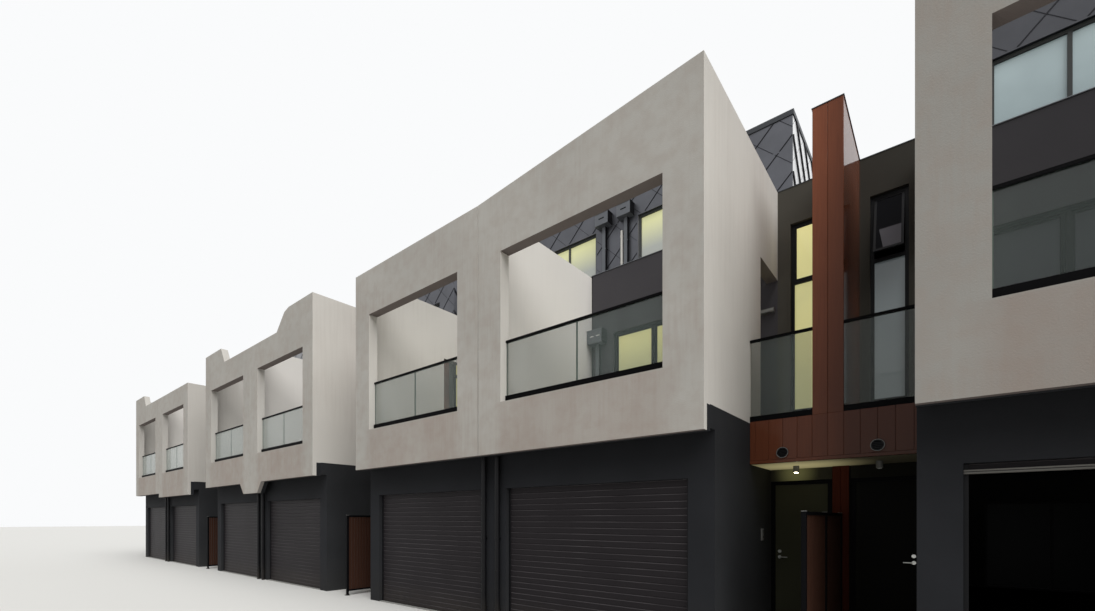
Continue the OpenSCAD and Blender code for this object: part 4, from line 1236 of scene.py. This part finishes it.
@dataclass
class Terraces:
    """Tiles, wall cappings, glass edges and channel covers of the terraces and balconies."""

    tile: float = 0.597
    joint: float = 0.004
    tile_t: float = 0.01
    tile_ease: float = 0.0015
    least_cut: float = 0.02
    fin_half: float = 0.1
    side_x: float = 3.72
    screen_t: float = 0.21
    blade_x: float = 0.19
    gap: float = 0.002
    cap_t: float = 0.014
    cap_reach: float = 0.014
    cap_ease: float = 0.003
    sheet_gap: float = 0.01
    sheet_y: float = 0.155
    sheet_z: Span = (3.88, 4.825)
    edge_w: float = 0.006
    edge_half: float = 0.0065
    lap: float = 0.001
    cover_y: Span = (0.115, 0.195)
    cover_h: float = 0.12
    cover_ease: float = 0.004

    def _tiles(self, x: Span, y: Span, z: float) -> Iterable[Box]:
        """Lays whole and cut tiles over a rectangle, from its left front corner.

        Args:
            x: the rectangle's two ends in x.
            y: its two ends in y.
            z: the floor's height.

        Yields:
            Each tile's box.
        """
        step = self.tile + self.joint
        for i in range(math.ceil((x[1] - x[0]) / step)):
            for j in range(math.ceil((y[1] - y[0]) / step)):
                x0, y0 = x[0] + i * step, y[0] + j * step
                x1, y1 = min(x0 + self.tile, x[1]), min(y0 + self.tile, y[1])
                if min(x1 - x0, y1 - y0) > self.least_cut:
                    yield (x0, x1), (y0, y1), (z, z + self.tile_t), self.tile_ease

    def build(self) -> None:
        """Builds the tiles, cappings, glass edges and channel covers."""
        boxed(41, "terrace_tiles", TILE, "concrete", ALL_HOUSES, *self._tiles(
            (self.fin_half, self.side_x), (self.screen_t, ROW.back_y), ROW.floor_1))

        inner, outer = self.blade_x, ROW.half_link - self.gap
        boxed(42, "balcony_tiles", TILE, "concrete", INNER_LINKS, *(
            tile for x in ((-outer, -inner), (inner, outer))
            for tile in self._tiles(x, (ROW.fascia_back_y, ROW.back_y), ROW.balcony_z)))

        boxed(43, "terrace_wall_cappings", PIPE_PAINT, "dark_metal", ALL_HOUSES, (
            (self.fin_half, ROW.half_pair),
            within((ROW.back_y, ROW.back_y + ROW.wall_t), -self.cap_reach),
            (ROW.parapet, ROW.parapet + self.cap_t), self.cap_ease))

        ends = within(ROW.opening_x, self.sheet_gap)
        joint = about(sum(ROW.opening_x) / 2, self.sheet_gap / 2)
        boxed(44, "balustrade_glass_edges", GLASS_EDGE, "balustrade_glass", ALL_HOUSES, *(
            (x, about(self.sheet_y, self.edge_half), self.sheet_z)
            for left, right in ((ends[0], joint[0]), (joint[1], ends[1]))
            for x in ((left - self.lap, left + self.edge_w), (right - self.edge_w, right + self.lap))))

        foot = ROW.opening_z[0] + self.lap
        boxed(45, "balustrade_channel_covers", RAIL_COAT, "dark_metal", ALL_HOUSES, (
            within(ROW.opening_x, self.gap), self.cover_y, (foot, foot + self.cover_h),
            self.cover_ease))


@dataclass
class GarageFront:
    """Guides, seals, thresholds and bottom bars of the roller doors."""

    opening: Span = (0.31, 3.55)
    curtain: Span = (0.47, 0.51)
    guide_w: float = 0.04
    guide_reach: float = 0.015
    guide_ease: float = 0.003
    gap: float = 0.002
    bar_reach: float = 0.008
    bar_z: Span = (0.02, 0.07)
    bar_ease: float = 0.004
    seal_top: float = 0.024
    seal_ease: float = 0.006
    strip_top: float = 0.012
    raised_foot: float = 2.3
    raised_y: Span = (0.4, 0.47)
    raised_bars: tuple[Span, ...] = ((-0.004, 0.014), (0.02, 0.036))
    groove: Span = (0.01, 0.024)
    lap: float = 0.001

    def build(self) -> None:
        """Builds the fittings of closed doors and the bar of the raised one."""
        left, right = self.opening
        boxed(51, "door_guides", BLACK_COAT, "dark_metal", ALL_HOUSES, *(
            (x, within(self.curtain, -self.guide_reach), (0.0, ROW.garage_head - self.gap),
             self.guide_ease) for x in ((left, left + self.guide_w), (right - self.guide_w, right))))

        span = within(self.opening, self.guide_w + self.gap)
        boxed(52, "door_bottom_bars", DOOR_SLATS, "garage_door", CLOSED_HOUSES, (
            span, (self.curtain[0] - self.bar_reach, self.curtain[1]), self.bar_z, self.bar_ease))
        boxed(53, "door_rubber_seals", RUBBER, "dark_metal", CLOSED_HOUSES, (
            span, within(self.curtain, self.gap), (0.0, self.seal_top), self.seal_ease))
        boxed(55, "garage_threshold_strips", CONCRETE, "concrete", ALL_HOUSES, (
            self.opening, (ROW.garage_y + self.gap, self.curtain[0]), (0.0, self.strip_top),
            self.guide_ease))

        wide, foot = within(self.opening, self.lap), self.raised_foot
        there = [ROW.house(*OPEN_HOUSE)]
        boxed(54, "raised_door_bottom_bar", BAR_PAINT, "garage_door", there, *(
            (wide, self.raised_y, moved(bar, foot), self.gap) for bar in self.raised_bars))
        boxed(56, "raised_bar_groove_seal", RUBBER, "garage_door", there, (
            wide, (self.raised_y[0] + self.bar_reach, self.raised_y[1] - self.gap),
            moved(self.groove, foot)))


@dataclass
class Porch:
    """Vents, lamps, intercoms, post caps and door details of the links' porches."""

    vent_x: float = 0.555
    vent_z: float = 2.82
    rim_y: float = 1.85
    rim_r: float = 0.078
    rim_w: float = 0.007
    rim_d: float = 0.01
    louvres: int = 5
    louvre_y: float = 1.856
    louvre_r: float = 0.059
    louvre_pitch: float = 0.38
    louvre_share: float = 0.96
    louvre_half: Span = (0.009, 0.0012)
    louvre_tilt: float = 35.0
    lamp: Point = (0.52, 2.55, 2.58)
    lens_r: Span = (0.028, 0.02)
    lens_h: float = 0.012
    light_x: Span = (3.57, 3.85)
    light_y: Span = (3.412, 3.424)
    light_z: Span = (5.502, 5.548)
    light_ease: float = 0.004
    keys_x: float = 3.924
    keys_y: float = 2.5
    slots: int = 6
    slot_top: float = 1.68
    slot_pitch: float = 0.009
    slot_h: float = 0.004
    slot_half: float = 0.022
    slot_x: Span = (-0.001, 0.0015)
    button_z: float = 1.575
    button: Span = (0.012, 0.006)
    round_sides: int = 20
    post_half: float = 0.025
    divider_h: float = 1.95
    divider_gap: float = 0.06
    cap_reach: float = 0.003
    cap_h: float = 0.008
    bolt_off: float = 0.037
    bolt: Point = (0.008, 0.009, 0.009)
    bolt_sides: int = 6
    sill_x: Span = (3.95, 4.73)
    sill_y: Span = (3.042, 3.14)
    sill_z: Span = (0.08, 0.088)
    thin_ease: float = 0.002
    leaf_x: Span = (3.956, 4.724)
    leaf_y: float = 3.096
    weather_in: float = 0.02
    weather_y: Span = (-0.018, 0.002)
    weather_z: Span = (0.096, 0.126)
    weather_ease: float = 0.006
    lock: Point = (4.026, -0.0135, 1.325)
    lock_size: Span = (0.013, -0.006)
    keyway_y: Span = (-0.0205, -0.019)
    keyway_half: Span = (0.0015, 0.007)

    def build(self) -> None:
        """Builds every fitting of the porches."""
        self._vents()
        self._lamps()
        self._intercoms()
        self._divider_caps()
        boxed(68, "door_thresholds", ALUMINIUM, "satin_chrome", ALL_HOUSES,
              (self.sill_x, self.sill_y, self.sill_z, self.thin_ease))
        hung = {"left": (ROW.pairs - 2, Side.RIGHT), "right": (ROW.pairs - 1, Side.LEFT)}
        for side, house in hung.items():
            self._door(f"{side}_door", f"{side}_entry_door", [ROW.house(*house)])
        fixed = [ROW.house(*house) for house in ROW.houses() if house not in hung.values()]
        self._door("fixed_door", "row", fixed)

    def _vents(self) -> None:
        """Builds the grey rims and the tilted louvres of the round vents."""
        rims, louvres = Shape(61), Shape(62)
        for x in (-self.vent_x, self.vent_x):
            rims.ring((x, self.rim_y, self.vent_z), self.rim_r, self.rim_w, self.rim_d)
            for i in range(self.louvres):
                up = (i - self.louvres // 2) * self.louvre_r * self.louvre_pitch
                half = math.sqrt(self.louvre_r ** 2 - up ** 2) * self.louvre_share
                louvre = louvres.box(about(x, half), *(about(0, size) for size in self.louvre_half))
                place = (Matrix.Translation((0, self.louvre_y, self.vent_z + up))
                         @ Matrix.Rotation(math.radians(self.louvre_tilt), 4, "X"))
                bmesh.ops.transform(louvres.bm, matrix=place, verts=louvre)
        rims.repeat(INNER_LINKS).piece("vent_rims", GREY_PLASTIC, "grey_plastic")
        louvres.repeat(INNER_LINKS).piece("vent_louvres", BLACK_COAT, "dark_metal")

    def _lamps(self) -> None:
        """Builds the downlights' lenses and the wall lights' lenses."""
        x, y, z = self.lamp
        foot, end = self.lens_r
        for name, finish, at in (("downlight_lens_lit", LIT_LENS, -x),
                                 ("downlight_lenses", OPAL_LENS, x)):
            lens = Shape(63)
            lens.rod((at, y, z), Axis.Z, foot, -self.lens_h, top=end)
            lens.repeat(INNER_LINKS).piece(name, finish, "light_fitting")
        boxed(64, "wall_light_lenses", SMOKED_LENS, "light_fitting", ALL_HOUSES,
              (self.light_x, self.light_y, self.light_z, self.light_ease))

    def _intercoms(self) -> None:
        """Builds the sound slots and the call button of each intercom."""
        keys, x = Shape(65), self.keys_x
        for i in range(self.slots):
            z = self.slot_top - i * self.slot_pitch
            keys.box(moved(self.slot_x, x), about(self.keys_y, self.slot_half),
                     (z, z + self.slot_h))
        keys.rod((x + self.slot_x[0], self.keys_y, self.button_z), Axis.X, *self.button,
                 self.round_sides)
        # The sound slots are dark rubber: painted shade in their openings
        keys.repeat(ALL_HOUSES).piece("intercom_keys", RUBBER, "dark_metal")

    def _divider_caps(self) -> None:
        """Builds the small caps on the divider posts and the bolts of their feet."""
        caps, bolts = Shape(66), Shape(67)
        half, (radius, foot, height) = self.post_half + self.cap_reach, self.bolt
        end = ROW.entry_y - self.divider_gap - 2 * self.post_half
        for y in (ROW.garage_y, (ROW.garage_y + end) / 2, end):
            caps.box(about(0, half), about(y, half), (self.divider_h, self.divider_h + self.cap_h),
                     self.thin_ease)
            for dx in (-self.bolt_off, self.bolt_off):
                for dy in (-self.bolt_off, self.bolt_off):
                    bolts.rod((dx, y + dy, foot), Axis.Z, radius, height, self.bolt_sides)
        caps.repeat(INNER_LINKS).piece("divider_post_caps", GREY_PLASTIC, "grey_plastic")
        bolts.repeat(INNER_LINKS).piece("divider_foot_bolts", ALUMINIUM, "satin_chrome")

    def _door(self, name: str, body: str, places: list[Matrix]) -> None:
        """Builds the weather bar and the lock cylinder with its keyway of some doors.

        Args:
            name: start of the pieces' names.
            body: CAD body that they ride on.
            places: the houses' transforms.
        """
        y = self.leaf_y
        boxed(69, f"{name}_weather_bar", BLACK_COAT, "dark_frame", places, (
            within(self.leaf_x, self.weather_in), moved(self.weather_y, y), self.weather_z,
            self.weather_ease), body=body)
        key, (x, face, z) = Shape(70), self.lock
        key.rod((x, y + face, z), Axis.Y, *self.lock_size, self.round_sides)
        key.box(about(x, self.keyway_half[0]), moved(self.keyway_y, y),
                about(z, self.keyway_half[1]))
        key.repeat(places).piece(f"{name}_lock_cylinder", CHROME, "satin_chrome", body=body)


@dataclass
class Glazing:
    """Panes with a look for each room, and the leaves and pulls of the sliding doors."""

    frame_w: float = 0.05
    frame_d: float = 0.1
    pane_t: float = 0.024
    leaf_w: float = 0.04
    leaf_y: Span = (0.025, 0.075)
    leaf_ease: float = 0.002
    transom: float = 5.93
    sash_gap: float = 0.003
    sash_w: float = 0.032
    sash_t: float = 0.036
    vent_angle: float = 14.0
    pull_half: float = 0.011
    pull_y: Span = (-0.034, -0.022)
    pull_z: Span = (0.9, 1.2)
    pull_ease: float = 0.004
    foot_half: float = 0.008
    foot_y: Span = (-0.024, 0.002)
    foot_z: Span = (0.92, 1.17)
    foot_h: float = 0.014

    def _lights(self, window: Window) -> list[Span]:
        """Finds the clear widths of a window's lights.

        Args:
            window: the window, whose lights have equal pitch.

        Returns:
            Each light's two ends in x.
        """
        half = self.frame_w / 2
        bars = [window.x + window.w * i / window.lights for i in range(1, window.lights)]
        edges = [window.x + half, *bars, window.x + window.w - half]
        return [within(ends, half) for ends in zip(edges, edges[1:])]

    def _fill(self, shape: Shape, windows: Iterable[Window]) -> None:
        """Adds the panes of some windows.

        Args:
            shape: the mesh to add to.
            windows: the windows.
        """
        for window in windows:
            y = window.frame_y + (self.frame_d - self.pane_t) / 2
            for ends in self._lights(window):
                shape.box(ends, (y, y + self.pane_t),
                          within((window.z, window.z + window.h), self.frame_w))

    def _stair(self, shape: Shape) -> None:
        """Adds the fixed pane of one link window.

        Args:
            shape: the mesh to add to.
        """
        y = STAIR.frame_y + (self.frame_d - self.pane_t) / 2
        shape.box(*self._lights(STAIR), (y, y + self.pane_t),
                  (STAIR.z + self.frame_w, self.transom - self.frame_w / 2))

    def _sash(self, shape: Shape, opened: bool = False) -> None:
        """Adds the pane of one link window's top-hung sash.

        Args:
            shape: the mesh to add to.
            opened: whether the sash stands open.
        """
        top = STAIR.z + STAIR.h - self.frame_w - self.sash_gap
        foot = self.transom + self.frame_w / 2 + self.sash_gap
        pane = shape.box(within(*self._lights(STAIR), self.sash_gap + self.sash_w),
                         about(self.sash_t / 2, self.pane_t / 2),
                         (foot + self.sash_w - top, -self.sash_w))
        swing = math.radians(-self.vent_angle if opened else 0)
        place = Matrix.Translation((0, STAIR.frame_y, top)) @ Matrix.Rotation(swing, 4, "X")
        bmesh.ops.transform(shape.bm, matrix=place, verts=pane)

    def _leaves(self) -> Iterable[Box]:
        """Finds the leaves' own frames in the terrace doors.

        Yields:
            Each frame member's box.
        """
        y = moved(self.leaf_y, DOORS.frame_y)
        low, high = within((DOORS.z, DOORS.z + DOORS.h), self.frame_w)
        for left, right in self._lights(DOORS):
            for x in ((left, left + self.leaf_w), (right - self.leaf_w, right)):
                yield x, y, (low, high), self.leaf_ease
            for z in ((low, low + self.leaf_w), (high - self.leaf_w, high)):
                yield within((left, right), self.leaf_w), y, z

    def _pulls(self) -> Iterable[Box]:
        """Finds the sliding doors' pulls, each a bar on two feet.

        Yields:
            Each bar's or foot's box.
        """
        for window in (DOORS, UPPERS):
            x, y, z = window.x + window.w * 2 / window.lights, window.frame_y, window.z
            yield (about(x, self.pull_half), moved(self.pull_y, y), moved(self.pull_z, z),
                   self.pull_ease)
            for foot in self.foot_z:
                yield (about(x, self.foot_half), moved(self.foot_y, y),
                       (z + foot, z + foot + self.foot_h))

    def build(self) -> None:
        """Builds the panes of every house, and the sliding doors' leaves and pulls."""
        lit = [(OPEN_PAIR - 1, Side.RIGHT), (OPEN_PAIR - 1, Side.LEFT)]
        pale = [OPEN_HOUSE, (OPEN_PAIR, Side.RIGHT)]
        every = ROW.houses()
        dim = [house for house in every if house not in lit + pale]
        shut = [house for house in dim + pale if house != OPEN_HOUSE]
        doors, uppers, both, garage, rear = (partial(self._fill, windows=windows) for windows in (
            (DOORS,), (UPPERS,), (DOORS, UPPERS), (REAR_GARAGE,), REAR_WINDOWS))
        for name, finish, houses, fill in (
                ("lit_door_panes", LIT_GLASS, lit, doors),
                ("lit_window_panes", LIT_UPPER_GLASS, lit, uppers),
                ("grey_door_panes", GREY_GLASS, pale, doors),
                ("pale_window_panes", PALE_GLASS, pale, uppers),
                ("dim_door_panes", DIM_GLASS, dim, both),
                ("lit_stair_panes", LIT_STAIR_GLASS, lit, self._stair),
                ("grey_stair_panes", GREY_STAIR_GLASS, pale, self._stair),
                ("dim_stair_panes", DIM_GLASS, dim, self._stair),
                ("lit_sash_panes", LIT_STAIR_GLASS, lit, self._sash),
                ("dim_sash_panes", BLACK_GLASS, shut, self._sash),
                ("opened_sash_pane", BLIND_GLASS, [OPEN_HOUSE], partial(self._sash, opened=True)),
                ("rear_garage_panes", OBSCURED_GLASS, every, garage),
                ("rear_window_panes", DIM_GLASS, every, rear)):
            panes = Shape(71)
            fill(panes)
            panes.repeat(ROW.house(*house) for house in houses).piece(
                name, finish, "window_glass", stands_for="window_glass")
        boxed(75, "terrace_door_leaves", BLACK_COAT, "dark_frame", ALL_HOUSES, *self._leaves())
        boxed(74, "sliding_door_pulls", BLACK_COAT, "dark_metal", ALL_HOUSES, *self._pulls())


@dataclass
class Rainwater:
    """Square pipes with their box heads, round pipes' collars, and the conduits.

    Each head has the wall's y, its pipe's foot and its own top. A slot has its width and
    height, and the shares say how far along the head's width each slot's middle lies. A
    conduit's socket has its drop from the top, its reach round the pipe and its height.
    """

    heads: tuple[Point, Point] = ((3.5, 3.3, 6.02), (4.78, 6.3, 9.43))
    head_x: float = 0.3
    head_w: float = 0.37
    head_d: float = 0.22
    head_h: float = 0.3
    rim: float = 0.008
    rim_h: float = 0.02
    rim_lap: float = 0.01
    pipe_half: float = 0.05
    pipe_y: Span = (-0.1, -0.02)
    pipe_ease: float = 0.005
    bracket_shares: Span = (0.22, 0.72)
    bracket_reach: float = 0.003
    bracket_h: float = 0.03
    thin_ease: float = 0.002
    head_ease: float = 0.003
    rear_x: Span = (3.6, 3.69)
    rear_y: Span = (12.0, 12.06)
    rear_reach: float = 0.005
    strap_feet: tuple[float, ...] = (0.35, 2.6, 5.6, 8.6)
    strap_h: float = 0.06
    terrace_slot: Span = (0.09, 0.02)
    terrace_shares: tuple[float, ...] = (0.33, 0.74)
    upper_slot: Span = (0.147, 0.03)
    upper_shares: tuple[float, ...] = (0.5,)
    slot_drop: float = 0.15
    slot_half: float = 0.002
    collar: Point = (0.165, 0.315, 0.049)
    collar_feet: Span = (0.9, 2.2)
    collar_h: float = 0.06
    collar_sides: int = 28
    conduit_x: float = 0.17
    conduit_r: float = 0.034
    conduit_gap: float = 0.004
    conduit_sides: int = 16
    conduit_top: float = 8.87
    socket: Point = (0.16, 0.005, 0.05)
    clip_feet: Span = (7.4, 8.1)
    clip_reach: float = 0.023
    clip_h: float = 0.02

    def _pipes(self) -> Iterable[Box]:
        """Finds the square pipes, their brackets and the heads with turned rims.

        Yields:
            Each one's box.
        """
        x, half, wide = self.head_x, self.pipe_half, self.head_w / 2
        for wall, foot, top in self.heads:
            y = moved(self.pipe_y, wall)
            yield about(x, half), y, (foot, top - self.head_h), self.pipe_ease
            for share in self.bracket_shares:
                z = foot + share * (top - foot)
                yield (about(x, half + self.rim), (y[0] - self.bracket_reach, wall),
                       (z, z + self.bracket_h), self.thin_ease)
            front = wall - self.head_d
            yield (about(x, wide), (front, wall), (top - self.head_h, top - self.rim_lap),
                   self.head_ease)
            yield (about(x, wide + self.rim), (front - self.rim, wall), (top - self.rim_h, top),
                   self.head_ease)
        yield self.rear_x, self.rear_y, (0.0, ROW.roof_under), self.pipe_ease
        for z in self.strap_feet:
            yield (within(self.rear_x, -self.rear_reach),
                   (self.rear_y[0], self.rear_y[1] + self.rear_reach), (z, z + self.strap_h),
                   self.thin_ease)

    def build(self) -> None:
        """Builds the pipes and heads, the heads' slots, the collars and the conduits."""
        boxed(81, "square_pipes_and_heads", PIPE_PAINT, "dark_metal", ALL_HOUSES, *self._pipes(),
              stands_for="square_downpipes", cross=PIPE_SHADE)
        for name, finish, head, (wide, high), shares in (
                ("terrace_head_slots", WHITE_PLASTIC, self.heads[0], self.terrace_slot,
                 self.terrace_shares),
                # The upper head's slot is dark rubber: painted shade in its opening
                ("upper_head_slots", RUBBER, self.heads[1], self.upper_slot,
                 self.upper_shares)):
            boxed(82, name, finish, "grey_plastic", ALL_HOUSES, *(
                (about(self.head_x + (share - 0.5) * self.head_w, wide / 2),
                 about(head[0] - self.head_d, self.slot_half),
                 about(head[2] - self.slot_drop, high / 2)) for share in shares))

        collars, (x, y, radius) = Shape(83), self.collar
        for z in self.collar_feet:
            collars.rod((x, y, z), Axis.Z, radius, self.collar_h, self.collar_sides)
        collars.repeat(ALL_HOUSES).piece("downpipe_collars", CHARCOAL_PAINT, "charcoal_paint")

        conduit, x, radius = Shape(84), self.conduit_x, self.conduit_r
        y, (drop, reach, height) = ROW.upper_y - radius - self.conduit_gap, self.socket
        conduit.rod((x, y, ROW.floor_2), Axis.Z, radius, self.conduit_top - ROW.floor_2,
                    self.conduit_sides)
        conduit.rod((x, y, self.conduit_top - drop), Axis.Z, radius + reach, height,
                    self.conduit_sides)
        for z in self.clip_feet:
            conduit.box(about(x, radius), (y - self.clip_reach, ROW.upper_y), (z, z + self.clip_h),
                        self.head_ease)
        conduit.repeat(RIGHT_HOUSES).piece("wall_conduits", WHITE_PLASTIC, "grey_plastic")


@dataclass
class Roofs:
    """Ribs of the roof sheets."""

    pitch: float = 0.4
    half: float = 0.015
    height: float = 0.03
    ease: float = 0.006
    edge: float = 0.14
    link_x: Span = (4.15, 4.5)

    def build(self) -> None:
        """Builds the ribs of the upper and of the link roofs."""
        count = int((ROW.upper_side_x - self.edge) / self.pitch)
        boxed(91, "roof_ribs", ROOF_SHEET, "roof_sheet", RIGHT_HOUSES, *(
            (about(i * self.pitch, self.half), within((ROW.upper_y, ROW.house_depth), self.edge),
             (ROW.roof_top, ROW.roof_top + self.height), self.ease)
            for i in range(-count, count + 1)))
        boxed(92, "link_roof_ribs", ROOF_SHEET, "roof_sheet", ALL_HOUSES, *(
            (about(x, self.half), within((ROW.back_y, ROW.house_depth), ROW.wall_t),
             (ROW.parapet, ROW.parapet + self.height), self.ease) for x in self.link_x))


@dataclass
class Rear:
    """Sills under the rear windows."""

    side: float = 0.03
    y: Span = (-0.06, 0.04)
    thick: float = 0.025
    ease: float = 0.004

    def build(self) -> None:
        """Builds the sills."""
        y = moved(self.y, ROW.house_depth)
        boxed(101, "rear_sills", ALUMINIUM, "satin_chrome", ALL_HOUSES, *(
            (within((window.x, window.x + window.w), -self.side), y,
             (window.z - self.thick, window.z), self.ease) for window in REAR_WINDOWS))


@dataclass
class Studio:
    """Pale floor, soft light, and the camera at the photograph's place."""

    camera_at: Point = (11.023, -12.0825, 1.865)
    heading: float = 41.0
    lens: float = 16.28
    sensor: float = 36.0
    shift: Span = (0.0292, 0.1948)
    far: float = 500.0
    floor_half: float = 150.0
    sky_colour: str = "#FAFBFC"
    sky: float = 0.34
    sun: float = 3.1
    sun_angle: float = 60.0
    sun_from: Point = (0.56, -0.27, 0.8)

    def build(self) -> None:
        """Builds the floor, the world, the sun and the camera."""
        ground = bmesh.new()
        bmesh.ops.create_grid(ground, x_segments=1, y_segments=1, size=self.floor_half)
        mesh = bpy.data.meshes.new("studio_floor")
        ground.to_mesh(mesh)
        ground.free()
        mesh.materials.append(STUDIO_FLOOR.material())
        self._placed(mesh)

        self._world()

        lamp = bpy.data.lights.new("soft_sun", "SUN")
        lamp.energy = self.sun
        lamp.angle = math.radians(self.sun_angle)
        self._placed(lamp).rotation_euler = Vector(self.sun_from).to_track_quat("Z", "Y").to_euler()

        lens = bpy.data.cameras.new("street_camera")
        lens.sensor_fit = "HORIZONTAL"
        lens.sensor_width = self.sensor
        lens.lens = self.lens
        lens.shift_x, lens.shift_y = self.shift
        lens.clip_end = self.far
        camera = self._placed(lens)
        camera.location = self.camera_at
        camera.rotation_euler = (math.radians(90), 0, math.radians(self.heading))
        bpy.context.scene.camera = camera

    def _placed(self, data: bpy.types.ID) -> bpy.types.Object:
        """Puts a mesh, a light or a camera into the scene.

        Args:
            data: what the new object holds, whose name it takes.

        Returns:
            The new object.
        """
        made = bpy.data.objects.new(data.name, data)
        bpy.context.scene.collection.objects.link(made)
        return made

    def _world(self) -> None:
        """Makes the background white to the camera and in reflections, and dimmer as light."""
        world = bpy.data.worlds.new("studio_sky")
        bpy.context.scene.world = world
        world.use_nodes = True
        world.node_tree.nodes.clear()
        add = partial(add_node, world.node_tree)
        rays = add("LightPath").node.outputs
        seen = rays["Is Camera Ray"]
        for ray in ("Is Glossy Ray", "Is Transmission Ray"):
            seen = add("Math", (seen, rays[ray]), operation="MAXIMUM")
        level = add("MapRange", {0: seen, 3: self.sky, 4: 1.0})
        light = add("Background", {"Color": linear(self.sky_colour), "Strength": level})
        add("OutputWorld", {"Surface": light})


def dress_frame() -> None:
    """Gives every CAD node its finish."""
    for name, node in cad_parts.items():
        node.data.materials.clear()
        node.data.materials.append(NODE_FINISHES[name].material())
        upright, cross = UPRIGHT_FINISHES.get(name), CROSS_FINISHES.get(name)
        level, high = HIGH_FINISHES.get(name, (0.0, None))
        other = upright or cross or high
        if other:
            node.data.materials.append(other.material())
        for polygon in node.data.polygons:
            turned = bool(upright) and abs(polygon.normal.z) < UPRIGHT_MOST
            turned = turned or bool(cross) and abs(polygon.normal.x) > CROSS_LEAST
            turned = turned or bool(high) and polygon.center.z > level
            polygon.material_index = int(turned)
    LOG.info("dressed %d CAD nodes", len(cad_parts))


def main() -> None:
    logging.basicConfig(level=logging.INFO, format="%(name)s: %(message)s")
    bpy.context.scene.view_settings.view_transform = "Standard"
    dress_frame()
    for part in (TimberCladding(), ZincCladding(), Terraces(), GarageFront(), Porch(), Glazing(),
                 Rainwater(), Roofs(), Rear(), Studio()):
        part.build()
        LOG.info("built %s", type(part).__name__)


if __name__ == "__main__":
    main()
